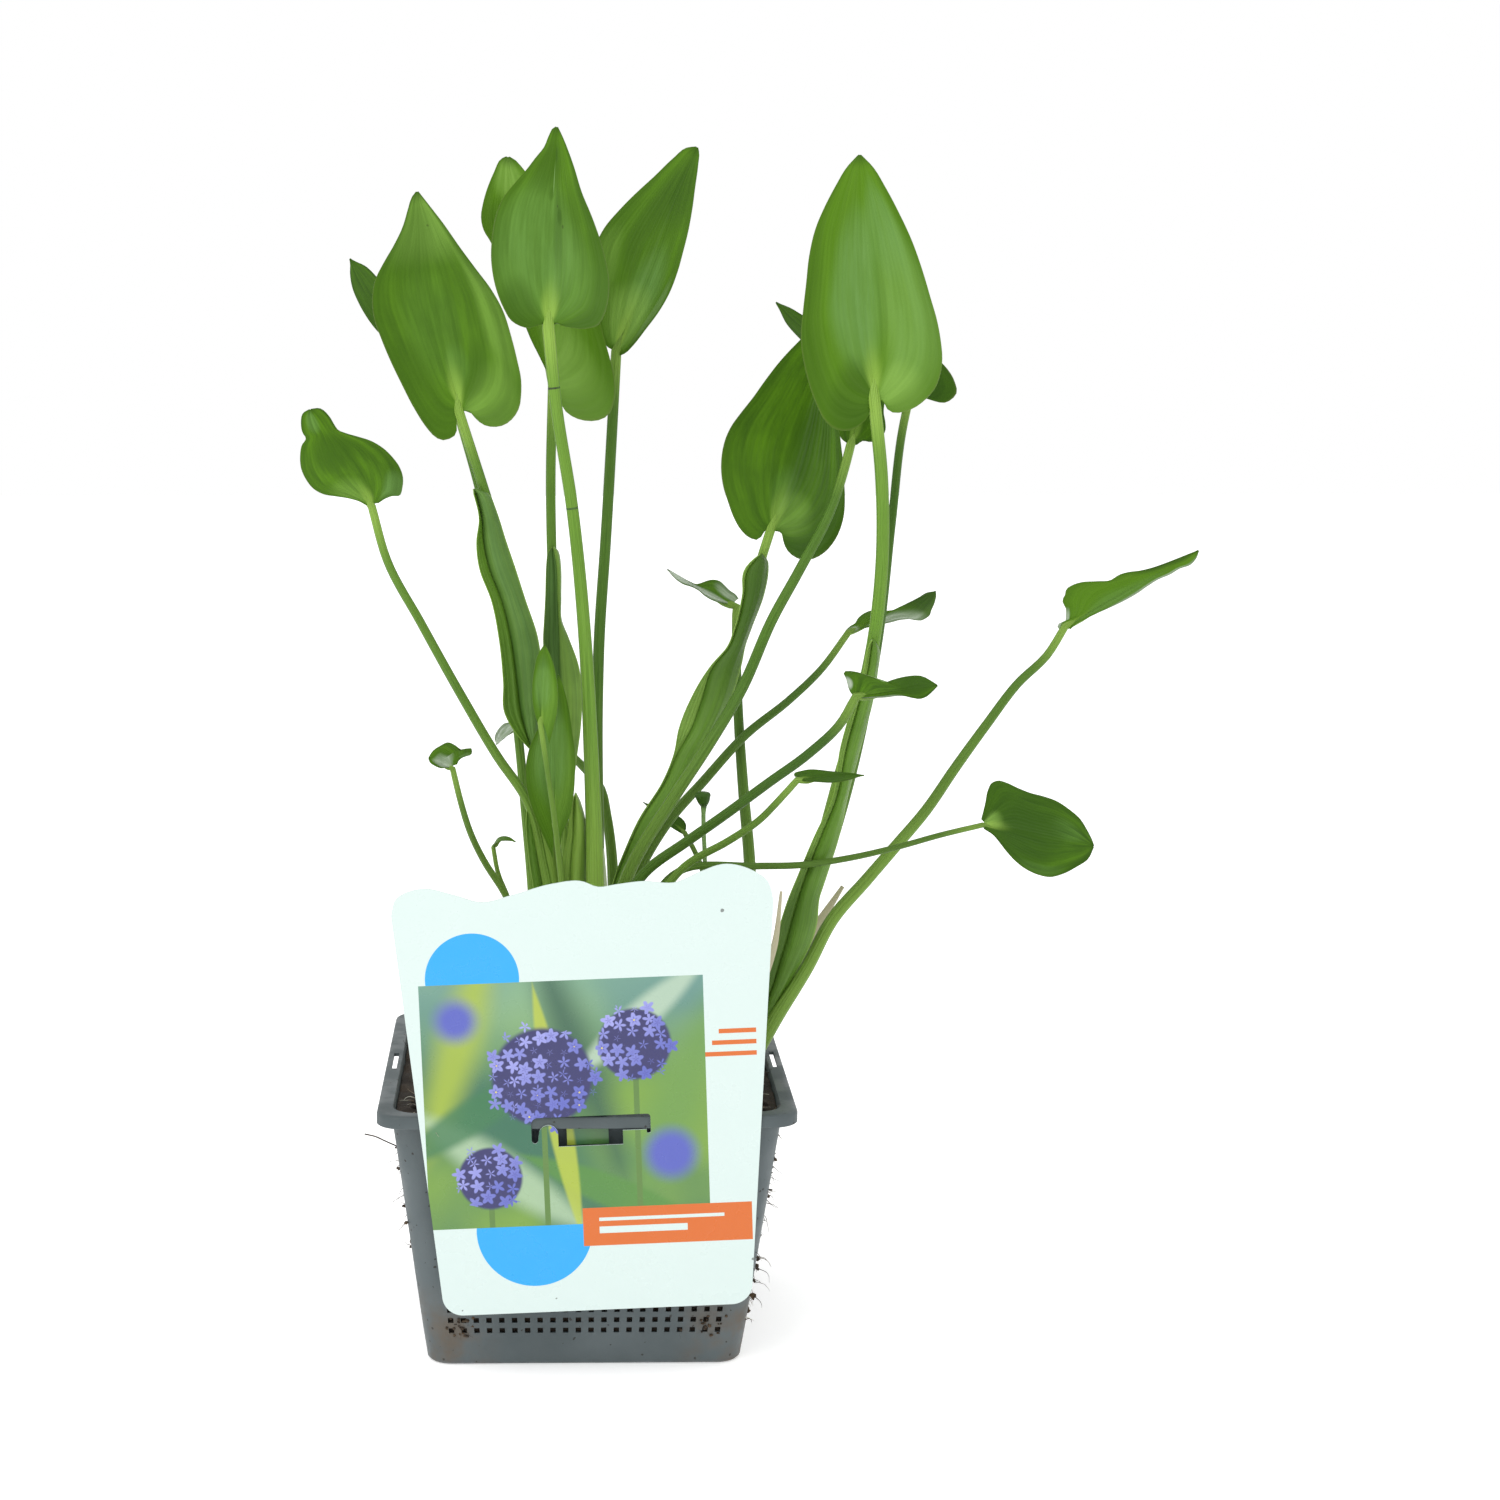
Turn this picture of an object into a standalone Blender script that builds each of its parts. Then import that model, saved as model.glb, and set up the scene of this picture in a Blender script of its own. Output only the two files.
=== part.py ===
"""Pickerel weed standing in a square mesh pond basket with a hang-on label.

Frame: metres, +Z up, origin at the centre of the basket's underside, the label in front at -Y.
Lengths below are in millimetres and mm() turns them into metres.
"""

from dataclasses import dataclass
from math import acos, cos, pi, radians, sin, sqrt

import bmesh
import bpy
from mathutils import Matrix, Vector

MM = 0.001
GAP = 0.3  # clearance kept between pieces that touch

# Basket
POT_HEIGHT = 120.0
POT_BASE_HALF = 68.5
POT_TOP_HALF = 83.0
POT_WALL = 1.5
POT_CORNER = 13.0
RIM_HALF = 90.0
RIM_CORNER = 11.0
RIM_THICK = 1.5
LIP_DROP = 5.5
LIP_THICK = 1.5
FOOT_BEVEL = 2.0
RIM_BEVEL = 1.0
RIM_SLOT = (26.0, 3.0)
RIM_SLOT_CENTRE = 86.0
PANEL_BOTTOM = 13.0
PANEL_TOP = 107.0
PANEL_HALF_BOTTOM = 57.0
PANEL_HALF_TOP = 68.0
PANEL_DEPTH = 0.5
CORNER_STEPS = 4
CUTTER_REACH = 4.0

# Soil
SOIL_TOP = 104.0
SOIL_DOME = 3.0
SOIL_EDGE = 16.0  # how far in from the wall the surface has risen to SOIL_SHOULDER of its dome
SOIL_SHOULDER = 0.8
SOIL_CROWN = 0.45  # the level middle, as a share of the surface
FOOT_DEPTH = 14.0
FOOT = SOIL_TOP - FOOT_DEPTH

# Label
CARD_THICK = 0.8
CARD_TOP_HALF = 82.0
CARD_BOTTOM_HALF = 66.5
CARD_TOP = 91.0
CARD_BOTTOM = -91.0
CARD_CORNER = 9.0
CARD_CENTRE = (2.2, 123.5)
CARD_TURN = 2.2
# The wavy top edge: its height over CARD_TOP by place across, from right to left.
CARD_WAVE = ((82, -4.0), (80, 3.0), (72, 8.5), (61, 11.0), (50, 8.5), (40, 5.5), (26, 7.0), (14, 6.0),
             (7, 5.0), (0, 8.0), (-12, 7.5), (-28, 3.5), (-43, 0.5), (-54, 4.0), (-68, 7.0), (-80, 2.0),
             (-82, -4.0))
CARD_SLOT_HALF = 25.0
CARD_SLOT_BOTTOM = -15.8
CARD_SLOT_TOP = -2.5
TONGUE_LEFT = -21.3
TONGUE_HALF = 4.2
TONGUE_TOP = -6.5
TONGUE_STEPS = 6
TAB_LEFT = -10.5
TAB_RIGHT = 7.5
TAB_REACH = 14.0
TAB_DEPTH = 5.1  # from the card's front to the middle of the strip's hanging part
TAB_START = 0.1  # how far inside the card the strip begins
TAB_BEND = 1.0

# Resolution of the swept and bent shapes
STALK_SIDES = 6
STALK_STEP = 34.0
BLADE_THICK = 1.0
LARGE_GRID = (6, 9)
SMALL_GRID = (4, 5)
SMALL_BLADE = 45.0
SLOPE_STEP = 0.02
LOBE_SHARE = 0.38  # of an edge's points that lie below its widest place
HANDLE_REACH = 0.75  # how far a cubic curve goes towards two handles at one height
SHEATH_THICK = 0.8
SHEATH_COLUMNS = 6

LEAF_GREEN = (0.11, 0.24, 0.035)
STALK_GREEN = (0.15, 0.30, 0.05)
SHEATH_GREEN = (0.09, 0.22, 0.03)
PALE_GREEN = (0.30, 0.36, 0.20)
HUSK_STRAW = (0.46, 0.42, 0.28)
POT_GREY = (0.10, 0.12, 0.125)
SOIL_BROWN = (0.025, 0.021, 0.014)
CARD_WHITE = (0.78, 0.88, 0.86)


@dataclass
class Edge:
    """One half of a blade, from the midrib out.

    `half` is its width, `lobe` how far its basal lobe reaches back past the joint, `widest` the share of
    the length where it is broadest, `under` how broad the lobe's end is and `full` how long the edge stays
    broad on the way to the tip. `fold` lifts the half at the midrib and `curl` bends it further towards its
    edge, in degrees.
    """

    half: float
    lobe: float = 0.0
    widest: float = 0.32
    fold: float = 5.0
    curl: float = 10.0
    under: float = 1.0
    full: float = 0.42


@dataclass
class Leaf:
    """One leaf: a stalk along `route` from its foot to the joint, and a blade from the joint to `tip`.

    `left` and `right` are as seen on the upper side with the tip up, and `face` is the way that side looks.
    `point` is how blunt the tip is, `arch` bends the midrib back and `twist` turns the tip against the base,
    in degrees. `thick` holds the stalk's diameters at the foot and at the joint.
    """

    name: str
    route: tuple
    thick: tuple
    tip: tuple
    left: Edge
    right: Edge
    face: tuple = (0.0, -1.0, 0.15)
    point: float = 0.22
    arch: float = 10.0
    twist: float = 0.0


LEAVES = (
    Leaf("centre_tall",
         ((2, -6, FOOT), (7, -16, 208), (5, -18, 263), (2, -20, 317), (-5, -23, 375), (-13, -26, 423),
          (-16, -28, 454)),
         thick=(8.2, 5.2), tip=(-12, -14, 540), point=0.16, arch=-8,
         left=Edge(25, 1.5, 0.30, fold=6, curl=8),
         right=Edge(26, 2.5, 0.28, fold=10, curl=10, full=0.22)),
    Leaf("left_tall",
         ((-18, -2, FOOT), (-15, -2, 203), (-17, -5, 247), (-21, -8, 284), (-27, -10, 316),
          (-35, -12, 352), (-45, -15, 385), (-55, -18, 417)),
         thick=(5.4, 4.4), tip=(-73, -8, 513), point=0.12, arch=-6,
         left=Edge(32, 13, 0.48, fold=8, curl=10, under=0.45, full=0.28),
         right=Edge(33, 9, 0.25, fold=8, curl=16, full=0.3)),
    Leaf("left_curled",
         ((-13, -21, FOOT), (-18, -14, 212), (-26, -18, 245), (-39, -20, 265), (-55, -27, 294),
          (-72, -36, 327), (-86, -43, 355), (-92, -46, 378)),
         thick=(5.2, 3.6), tip=(-117, -56, 420), face=(0.1, -1.0, 0.3), point=0.45, arch=35, twist=-15,
         left=Edge(20, 0, 0.5, fold=-5, curl=-20, under=0.4),
         right=Edge(20, 4, 0.26, fold=0, curl=-30, full=0.2)),
    Leaf("left_shaded",
         ((-22, 12, FOOT), (-24, 16, 199), (-27, 20, 234), (-30, 26, 266), (-37, 36, 320),
          (-47, 46, 375), (-59, 54, 418)),
         thick=(5.0, 3.6), tip=(-109, 80, 486), face=(-0.2, -1.0, 0.4), arch=20,
         left=Edge(12.5, 0, 0.62, under=0.3), right=Edge(17, 4)),
    Leaf("centre_back",
         ((-7, 8, FOOT), (-8, 14, 199), (-11, 14, 263), (-14, 15, 332), (-15, 16, 386), (-14, 16, 429)),
         thick=(4.6, 4.4), tip=(-34, 30, 530), point=0.3, arch=-8,
         left=Edge(18, 0, 0.68, fold=8, curl=10, under=0.1),
         right=Edge(28, 22, 0.04, fold=10, curl=10, full=0.1)),
    Leaf("centre_slim",
         ((7, 17, FOOT), (6, 22, 200), (4, 24, 284), (5, 26, 312), (9, 28, 358), (12, 31, 399),
          (15, 34, 443)),
         thick=(4.8, 4.4), tip=(53, 60, 536), face=(-0.25, -1.0, 0.2), point=0.3, arch=12,
         left=Edge(24, 0, 0.45, fold=8, curl=8), right=Edge(19, 0, 0.42, fold=22, curl=14)),
    Leaf("right_tall",
         ((48, 2, FOOT), (88, -2, 156), (100, -3, 193), (106, -5, 215), (115, -8, 252), (123, -10, 284),
          (129, -12, 316), (132, -13, 352), (131, -15, 387), (127, -16, 422)),
         thick=(6.8, 5.6), tip=(120, -6, 529), point=0.3, arch=-6,
         left=Edge(32, 13, 0.30, fold=10, curl=14, full=0.46),
         right=Edge(31, 5, 0.22, fold=8, curl=6, full=0.40)),
    Leaf("right_broad",
         ((12, 6, FOOT), (22, 16, 201), (33, 20, 226), (46, 24, 252), (57, 27, 275), (67, 30, 302),
          (77, 33, 330), (82, 34, 348), (86, 34, 361)),
         thick=(4.8, 4.4), tip=(117, 56, 455), face=(-0.05, -1.0, 0.2), arch=4,
         left=Edge(32, 5, 0.36, fold=6, curl=10, under=0.8),
         right=Edge(31, 13, 0.18, fold=6, curl=12, under=0.9)),
    Leaf("right_back",
         ((60, 26, FOOT), (90, 28, 141), (108, 34, 186), (126, 44, 243), (139, 52, 308), (146, 64, 364),
          (152, 75, 408), (155, 78, 421)),
         thick=(4.4, 4.0), tip=(96, 112, 464), face=(0.2, -1.0, 0.6), arch=16,
         left=Edge(20, 6, 0.2, curl=15), right=Edge(21, 21, 0.13, curl=15, under=0.8)),
    Leaf("right_inner",
         ((16, -9, FOOT), (25, 3, 209), (44, 6, 242), (57, 9, 266), (72, 12, 291), (86, 14, 323),
          (98, 15, 345), (112, 17, 372), (118, 19, 390), (121, 21, 401)),
         thick=(7.0, 4.2), tip=(142, 56, 460), face=(0.1, -1.0, 0.5), arch=15,
         left=Edge(17, 2, 0.25, curl=12), right=Edge(19, 6, 0.25, curl=12)),
    Leaf("back_curled",
         ((70, 34, FOOT), (80, 44, 201), (77, 50, 238), (75, 57, 270), (73, 63, 303), (73, 66, 323)),
         thick=(4.8, 3.0), tip=(39, 42, 342), face=(0.0, 0.8, 0.6), point=0.0, arch=-25, twist=30,
         left=Edge(7, 0, 0.28, curl=25, full=0.1), right=Edge(7, 2, 0.28, curl=25, full=0.1)),
    Leaf("right_twisted",
         ((19, 26, FOOT), (31, 30, 208), (38, 34, 225), (55, 42, 244), (77, 50, 264), (98, 55, 280),
          (113, 58, 294), (126, 62, 311)),
         thick=(5.0, 2.8), tip=(170, 88, 328), face=(0.0, -0.3, 1.0), point=0.4, arch=8, twist=-50,
         left=Edge(6.5, 0, 0.7, fold=6, curl=15), right=Edge(8, 0, 0.7, fold=6, curl=15)),
    Leaf("right_small",
         ((10, -21, FOOT), (30, -10, 215), (45, -18, 227), (61, -27, 240), (81, -36, 256),
          (98, -42, 270), (111, -47, 284), (117, -50, 296)),
         thick=(4.8, 3.8), tip=(151, -60, 301), face=(0.1, -0.55, 1.0), point=0.3, arch=6, twist=-50,
         left=Edge(9, 9, 0.5, fold=20, curl=15), right=Edge(11, 1, 0.55, fold=10, curl=10)),
    Leaf("right_narrow",
         ((18, -31, FOOT), (46, -32, 219), (63, -42, 231), (76, -50, 242), (84, -56, 252),
          (91, -60, 261)),
         thick=(3.0, 2.4), tip=(116, -84, 267), face=(0.1, -0.5, 1.0), point=0.1,
         left=Edge(6, 0, 0.45, curl=8), right=Edge(6, 0, 0.45, curl=8)),
    Leaf("far_right",
         ((58, -12, FOOT), (80, -10, 129), (87, -8, 141), (102, -2, 164), (114, 4, 185), (130, 10, 202),
          (144, 15, 217), (158, 18, 233), (172, 21, 253), (187, 25, 273), (201, 28, 291),
          (215, 31, 304), (223, 32, 317)),
         thick=(7.6, 3.6), tip=(288, 48, 350), face=(-0.3, -0.2, 1.0), point=0.15, arch=5, twist=25,
         left=Edge(13, 0, 0.2, fold=55, curl=10, full=0.2),
         right=Edge(16, 0, 0.24, fold=55, curl=10, full=0.25)),
    Leaf("right_low",
         ((27, -7, FOOT), (48, -7, 212), (78, -10, 213), (97, -13, 214), (119, -17, 218),
          (141, -21, 224), (159, -25, 230), (177, -28, 235)),
         thick=(4.4, 2.4), tip=(223, -48, 229), face=(0.0, -1.0, 0.5), point=0.4, arch=12,
         left=Edge(22, 4, 0.15, fold=-4, curl=-10),
         right=Edge(21, 0, 0.55, fold=6, curl=12, under=0.3)),
    Leaf("left_cap",
         ((-25, -31, FOOT), (-36, -30, 205), (-45, -36, 221), (-51, -44, 236), (-55, -49, 251),
          (-58, -52, 265)),
         thick=(4.2, 2.6), tip=(-70, -62, 271), face=(0.3, 0.1, 1.0), point=0.5, arch=10,
         left=Edge(7, 6, 0.3, curl=30), right=Edge(7, 6, 0.3, curl=30)),
    Leaf("hook",
         ((-24, -21, FOOT), (-35, -25, 203), (-39, -28, 214), (-41, -30, 226)),
         thick=(2.8, 2.0), tip=(-31, -34, 229), face=(-0.4, -0.3, 1.0), point=0.3, arch=100,
         left=Edge(2.2, 0, 0.4), right=Edge(2.2, 0, 0.4)),
    Leaf("low_hidden",
         ((31, 35, FOOT), (54, 40, 207), (51, 42, 213), (48, 45, 218)),
         thick=(2.8, 2.4), tip=(29, 60, 230), face=(0.0, -0.8, 0.8), point=0.1,
         left=Edge(4.5, 0, 0.4), right=Edge(4.5, 0, 0.4)),
    Leaf("drooping",
         ((11, 32, FOOT), (14, 31, 196), (13, 32, 213), (11, 34, 228), (8, 38, 241), (1, 43, 249),
          (-8, 48, 257), (-20, 53, 265), (-30, 56, 268)),
         thick=(4.4, 2.4), tip=(-39, 60, 254), face=(0.3, -1.0, 0.4), point=0.2, arch=50,
         left=Edge(3.5, 0, 0.45, curl=20), right=Edge(3.5, 0, 0.45, curl=20)),
    Leaf("front_slim",
         ((-4, -31, FOOT), (-11, -34, 212), (-14, -35, 241), (-17, -36, 262), (-20, -38, 283)),
         thick=(2.8, 2.4), tip=(-18, -41, 318), point=0.15, arch=-4,
         left=Edge(5.5, 0, 0.35), right=Edge(6, 0, 0.35)),
    Leaf("front_upright",
         ((-8, -14, FOOT), (-10, -17, 206), (-12, -19, 222), (-14, -21, 235)),
         thick=(3.0, 2.6), tip=(-12, -25, 303), point=0.12, arch=-4,
         left=Edge(12, 3, 0.34, fold=14), right=Edge(10.5, 2, 0.34, fold=14)),
)


@dataclass
class Sheath:
    """A channel-shaped leaf sheath round leaf `host`'s stalk, between two shares of that stalk's length.

    `left` and `right` are the widths of its flanges at even steps from the bottom up, `opens` is the way the
    channel looks, and `bow` is the radius it is curved to.
    """

    name: str
    host: str
    start: float
    end: float
    left: tuple
    right: tuple
    opens: tuple
    bow: float


SHEATHS = (
    Sheath("left_tall", "left_tall", 0.48, 0.90, left=(6, 6.5, 7.5, 8, 5.5), right=(8, 12.5, 12.5, 10.5, 5),
           opens=(-1, -0.25, 0), bow=5.0),
    Sheath("centre_back", "centre_back", 0.52, 0.79, left=(4, 9, 8, 4, 3), right=(3, 4, 4, 3, 2.5),
           opens=(1, -0.3, 0), bow=4.5),
    Sheath("right_broad", "right_broad", 0.34, 0.965, left=(3, 4, 9.5, 7, 7, 5),
           right=(5, 6.5, 6.5, 6, 6, 4), opens=(0, 1, 0), bow=8.0),
    Sheath("right_tall", "right_tall", 0.28, 0.62, left=(4, 8, 9, 8, 5), right=(5, 8, 8, 7, 4),
           opens=(-0.7, -0.7, 0), bow=6.0),
)


@dataclass
class Sprig:
    """A thin upright piece with no blade, along `route` with these diameters: a husk, a shoot or a bud."""

    name: str
    route: tuple
    widths: tuple
    colour: tuple


SPRIGS = (
    Sprig("husk_inner", ((50, 18, FOOT), (86, 20, 140), (101, 18, 163), (110, 17, 179), (121, 16, 197)),
          (2.6, 3.4, 2.6, 1.2), HUSK_STRAW),
    Sprig("husk_outer", ((38, -16, FOOT), (76, -18, 150), (87, -18, 178), (87, -18, 202)),
          (2.4, 2.8, 2.4, 1.0), HUSK_STRAW),
    Sprig("pale_shoot", ((10, -36, FOOT), (9, -31, 170), (9, -29, 208), (8, -29, 225)),
          (2.4, 1.8, 1.4, 0.6), PALE_GREEN),
    Sprig("bud", ((37, 6, FOOT), (55, 0, 210), (54, -3, 236), (54, -4, 240), (54, -5, 243), (54, -5, 246)),
          (2.4, 2.2, 2.2, 3.4, 8.0, 6.4), STALK_GREEN),
)


def mm(point):
    return Vector(point) * MM


def new_object(name, mesh, colour, roughness):
    """A scene object with its own Principled material."""
    material = bpy.data.materials.new(name)
    material.use_nodes = True
    shader = material.node_tree.nodes["Principled BSDF"]
    shader.inputs["Base Color"].default_value = (*colour, 1.0)
    shader.inputs["Roughness"].default_value = roughness
    shader.inputs["Metallic"].default_value = 0.0
    mesh.materials.append(material)
    body = bpy.data.objects.new(name, mesh)
    bpy.context.scene.collection.objects.link(body)
    return body


def new_mesh(name, points, faces):
    """A mesh with its faces turned outwards, from points in millimetres."""
    shape = bmesh.new()
    corners = [shape.verts.new(mm(point)) for point in points]
    for face in faces:
        shape.faces.new([corners[index] for index in face])
    bmesh.ops.recalc_face_normals(shape, faces=shape.faces)
    mesh = bpy.data.meshes.new(name)
    shape.to_mesh(mesh)
    shape.free()
    return mesh


def cut(body, cutters):
    """Subtract each cutter from the body with its own Boolean, and keep the cutters out of the model."""
    for cutter in cutters:
        cutter.hide_render = True
        cutter.display_type = "WIRE"
        boolean = body.modifiers.new(f"cut {cutter.name}", "BOOLEAN")
        boolean.operation = "DIFFERENCE"
        boolean.object = cutter


def box_mesh(name, low, high):
    corners = [(x, y, z) for x in (low[0], high[0]) for y in (low[1], high[1]) for z in (low[2], high[2])]
    faces = ((0, 1, 3, 2), (4, 6, 7, 5), (0, 4, 5, 1), (2, 3, 7, 6), (0, 2, 6, 4), (1, 5, 7, 3))
    return new_mesh(name, corners, faces)


# Swept shapes


def smooth_path(points, step, first=0.0, last=1.0):
    """Points about `step` apart on a smooth curve through the given ones, between two of its shares."""
    knots = [Vector(point) for point in points]
    marks = [0.0]
    for before, after in zip(knots, knots[1:]):
        marks.append(marks[-1] + (after - before).length)
    slopes = [path_slope(knots, marks, index) for index in range(len(knots))]
    count = max(3, round((last - first) * marks[-1] / step))
    shares = [first + (last - first) * index / count for index in range(count + 1)]
    return [path_point(knots, marks, slopes, marks[-1] * share) for share in shares]


def path_slope(knots, marks, index):
    """The curve's direction at one knot, from the knots on either side."""
    low, high = max(index - 1, 0), min(index + 1, len(knots) - 1)
    if low == index or high == index:
        return (knots[high] - knots[low]) / (marks[high] - marks[low])
    ahead = (knots[high] - knots[index]) / (marks[high] - marks[index])
    behind = (knots[index] - knots[low]) / (marks[index] - marks[low])
    share = (marks[index] - marks[low]) / (marks[high] - marks[low])
    return behind.lerp(ahead, share)


def path_point(knots, marks, slopes, mark):
    """The point at distance `mark` along the knots, by cubic interpolation."""
    index = 0
    while index < len(marks) - 2 and mark > marks[index + 1]:
        index += 1
    span = marks[index + 1] - marks[index]
    t = (mark - marks[index]) / span
    start = knots[index] * (2 * t**3 - 3 * t**2 + 1) + slopes[index] * span * (t**3 - 2 * t**2 + t)
    finish = knots[index + 1] * (3 * t**2 - 2 * t**3) + slopes[index + 1] * span * (t**3 - t**2)
    return start + finish


def directions(path):
    """The unit direction of the path at each of its points."""
    found = []
    for index in range(len(path)):
        found.append((path[min(index + 1, len(path) - 1)] - path[max(index - 1, 0)]).normalized())
    return found


def tube_mesh(name, path, radii, sides):
    """A closed tube round the path, with one radius for each point."""
    points = []
    across = Vector((0, 1, 0))
    for centre, along, radius in zip(path, directions(path), radii):
        across = (across - along * across.dot(along)).normalized()
        other = along.cross(across)
        for side in range(sides):
            angle = 2 * pi * side / sides
            points.append(centre + (across * cos(angle) + other * sin(angle)) * radius)
    faces = [list(range(sides)), list(range(len(points) - sides, len(points)))]
    for ring in range(len(path) - 1):
        for side in range(sides):
            low, turn = ring * sides, (side + 1) % sides
            faces.append((low + side, low + turn, low + sides + turn, low + sides + side))
    return new_mesh(name, points, faces)


def tapered(count, thick):
    """Radii that run evenly from the first diameter to the second."""
    return [(thick[0] + (thick[1] - thick[0]) * index / (count - 1)) / 2 for index in range(count)]


def spread(values, share):
    """The value at a share of the way along a row of values, in straight steps."""
    place = share * (len(values) - 1)
    index = min(int(place), len(values) - 2)
    return values[index] + (values[index + 1] - values[index]) * (place - index)


# Blades


def bezier(ends, t):
    """The point at share `t` of a flat cubic curve from the first of four points to the last."""
    weights = (1 - t) ** 3, 3 * (1 - t) ** 2 * t, 3 * (1 - t) * t**2, t**3
    return tuple(sum(weight * end[axis] for weight, end in zip(weights, ends)) for axis in (0, 1))


def margin(leaf, edge, length, share):
    """A point of the flat blade's edge: round the basal lobe first, then up to the tip."""
    half, belly = edge.half, edge.widest * length
    notch = min(leaf.thick[1] / 2 + 2 * GAP, half * 0.6)
    if share < LOBE_SHARE:
        low = -(edge.lobe + 0.1 * belly) / HANDLE_REACH if edge.lobe else 0.15 * belly
        handles = (notch + 0.1 * half, low), (max(notch, half * edge.under), low)
        return bezier(((notch, 0), *handles, (half, belly)), share / LOBE_SHARE)
    rest = length - belly
    handles = (half, belly + edge.full * rest), (leaf.point * half, length - 0.22 * rest)
    return bezier(((half, belly), *handles, (0, length)), (share - LOBE_SHARE) / (1 - LOBE_SHARE))


def bent(leaf, edge, length, across, along):
    """Fold, curl, twist and arch one point of the flat blade. `across` is never negative here."""
    start, bend = radians(edge.fold), (radians(edge.curl) or 1e-6) / edge.half
    out = (sin(start + bend * across) - sin(start)) / bend
    lift = (cos(start) - cos(start + bend * across)) / bend
    x = -out if edge is leaf.left else out
    turn = radians(leaf.twist) * (along / length - 0.5)
    x, z = x * cos(turn) - lift * sin(turn), x * sin(turn) + lift * cos(turn)
    arch = radians(leaf.arch) or 1e-6
    radius, angle = length / arch, arch * along / length
    return Vector((x, radius * sin(angle) + z * sin(angle), z * cos(angle) - radius * (1 - cos(angle))))


def blade_frame(leaf, base):
    """(length along the midrib, matrix) that put the bent blade from `base` to its tip's place."""
    chord = Vector(leaf.tip) - base
    half_arch = radians(leaf.arch) / 2 or 1e-6
    along = chord.normalized()
    up = Vector(leaf.face)
    up = (up - along * up.dot(along)).normalized()
    first = along * cos(half_arch) + up * sin(half_arch)
    normal = up * cos(half_arch) - along * sin(half_arch)
    turn = Matrix((first.cross(normal), first, normal)).transposed().to_4x4()
    return chord.length * half_arch / sin(half_arch), Matrix.Translation(base) @ turn


def blade_base(leaf, path):
    """Where the blade starts: clear of the end of its stalk."""
    joint = Vector(leaf.route[-1])
    _, place = blade_frame(leaf, joint)
    forward = place.to_3x3() @ Vector((0, 1, 0))
    meeting = max(-1.0, min(1.0, forward.dot(directions(path)[-1])))
    return joint + forward * (GAP + leaf.thick[1] / 2 * sin(acos(meeting)))


def blade_point(leaf, place, length, v, share):
    """A point of the blade's middle surface: `v` runs from -1 at the left edge to 1 at the right one."""
    edge = leaf.right if v > 0 else leaf.left
    edge_x, edge_y = margin(leaf, edge, length, share)
    weight = v * v
    return place @ bent(leaf, edge, length, abs(v) * edge_x, (1 - weight) * share * length + weight * edge_y)


def blade_mesh(leaf, path):
    """A closed solid, thickest at the midrib and thin at its edge."""
    length, place = blade_frame(leaf, blade_base(leaf, path))
    columns, rows = LARGE_GRID if length > SMALL_BLADE else SMALL_GRID
    points, upper, lower = [], [], []
    across = [2 * column / columns - 1 for column in range(columns + 1)]
    for row in range(rows):
        line = [blade_point(leaf, place, length, v, row / rows) for v in across]
        ahead = [blade_point(leaf, place, length, v, row / rows + SLOPE_STEP) for v in across]
        top, bottom = [], []
        for column, point in enumerate(line):
            edge = column in (0, columns)
            top.append(len(points))
            bottom.append(len(points) + (0 if edge else 1))
            if edge:
                points.append(point)
                continue
            normal = (line[column + 1] - line[column - 1]).cross(ahead[column] - point).normalized()
            thin = 1 - abs(across[column]) ** 3
            points.append(point + normal * BLADE_THICK / 2 * thin)
            points.append(point - normal * BLADE_THICK / 2 * thin)
        upper.append(top)
        lower.append(bottom)
    points.append(blade_point(leaf, place, length, 0, 1))
    tip = len(points) - 1
    faces = [upper[0] + lower[0][-2:0:-1]]
    for sheet in (upper, lower):
        for row in range(rows - 1):
            for c in range(columns):
                faces.append((sheet[row][c], sheet[row][c + 1], sheet[row + 1][c + 1], sheet[row + 1][c]))
        for c in range(columns):
            faces.append((sheet[-1][c], sheet[-1][c + 1], tip))
    return new_mesh(f"blade_{leaf.name}", points, faces)


def make_leaf(leaf):
    path = smooth_path(leaf.route, STALK_STEP)
    stalk = tube_mesh(f"stalk_{leaf.name}", path, tapered(len(path), leaf.thick), STALK_SIDES)
    new_object(f"stalk_{leaf.name}", stalk, STALK_GREEN, 0.4)
    new_object(f"blade_{leaf.name}", blade_mesh(leaf, path), LEAF_GREEN, 0.35)


# Sheaths


def sheath_section(sheath, share, centre, along, radius):
    """The inner and outer points of the channel at one place on its stalk."""
    opens = Vector(sheath.opens)
    opens = (opens - along * opens.dot(along)).normalized()
    sideways = opens.cross(along)
    left, right = spread(sheath.left, share), spread(sheath.right, share)
    inner, outer = [], []
    for column in range(SHEATH_COLUMNS + 1):
        v = 2 * column / SHEATH_COLUMNS - 1
        reach = v * (right if v > 0 else left)
        lift = reach**2 / (2 * sheath.bow)
        slope = reach / sheath.bow
        normal = (opens - sideways * slope) / sqrt(1 + slope**2)
        point = centre + sideways * reach + opens * (lift - radius - 3 * GAP)
        inner.append(point)
        outer.append(point - normal * SHEATH_THICK)
    return inner + outer[::-1]


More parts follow.
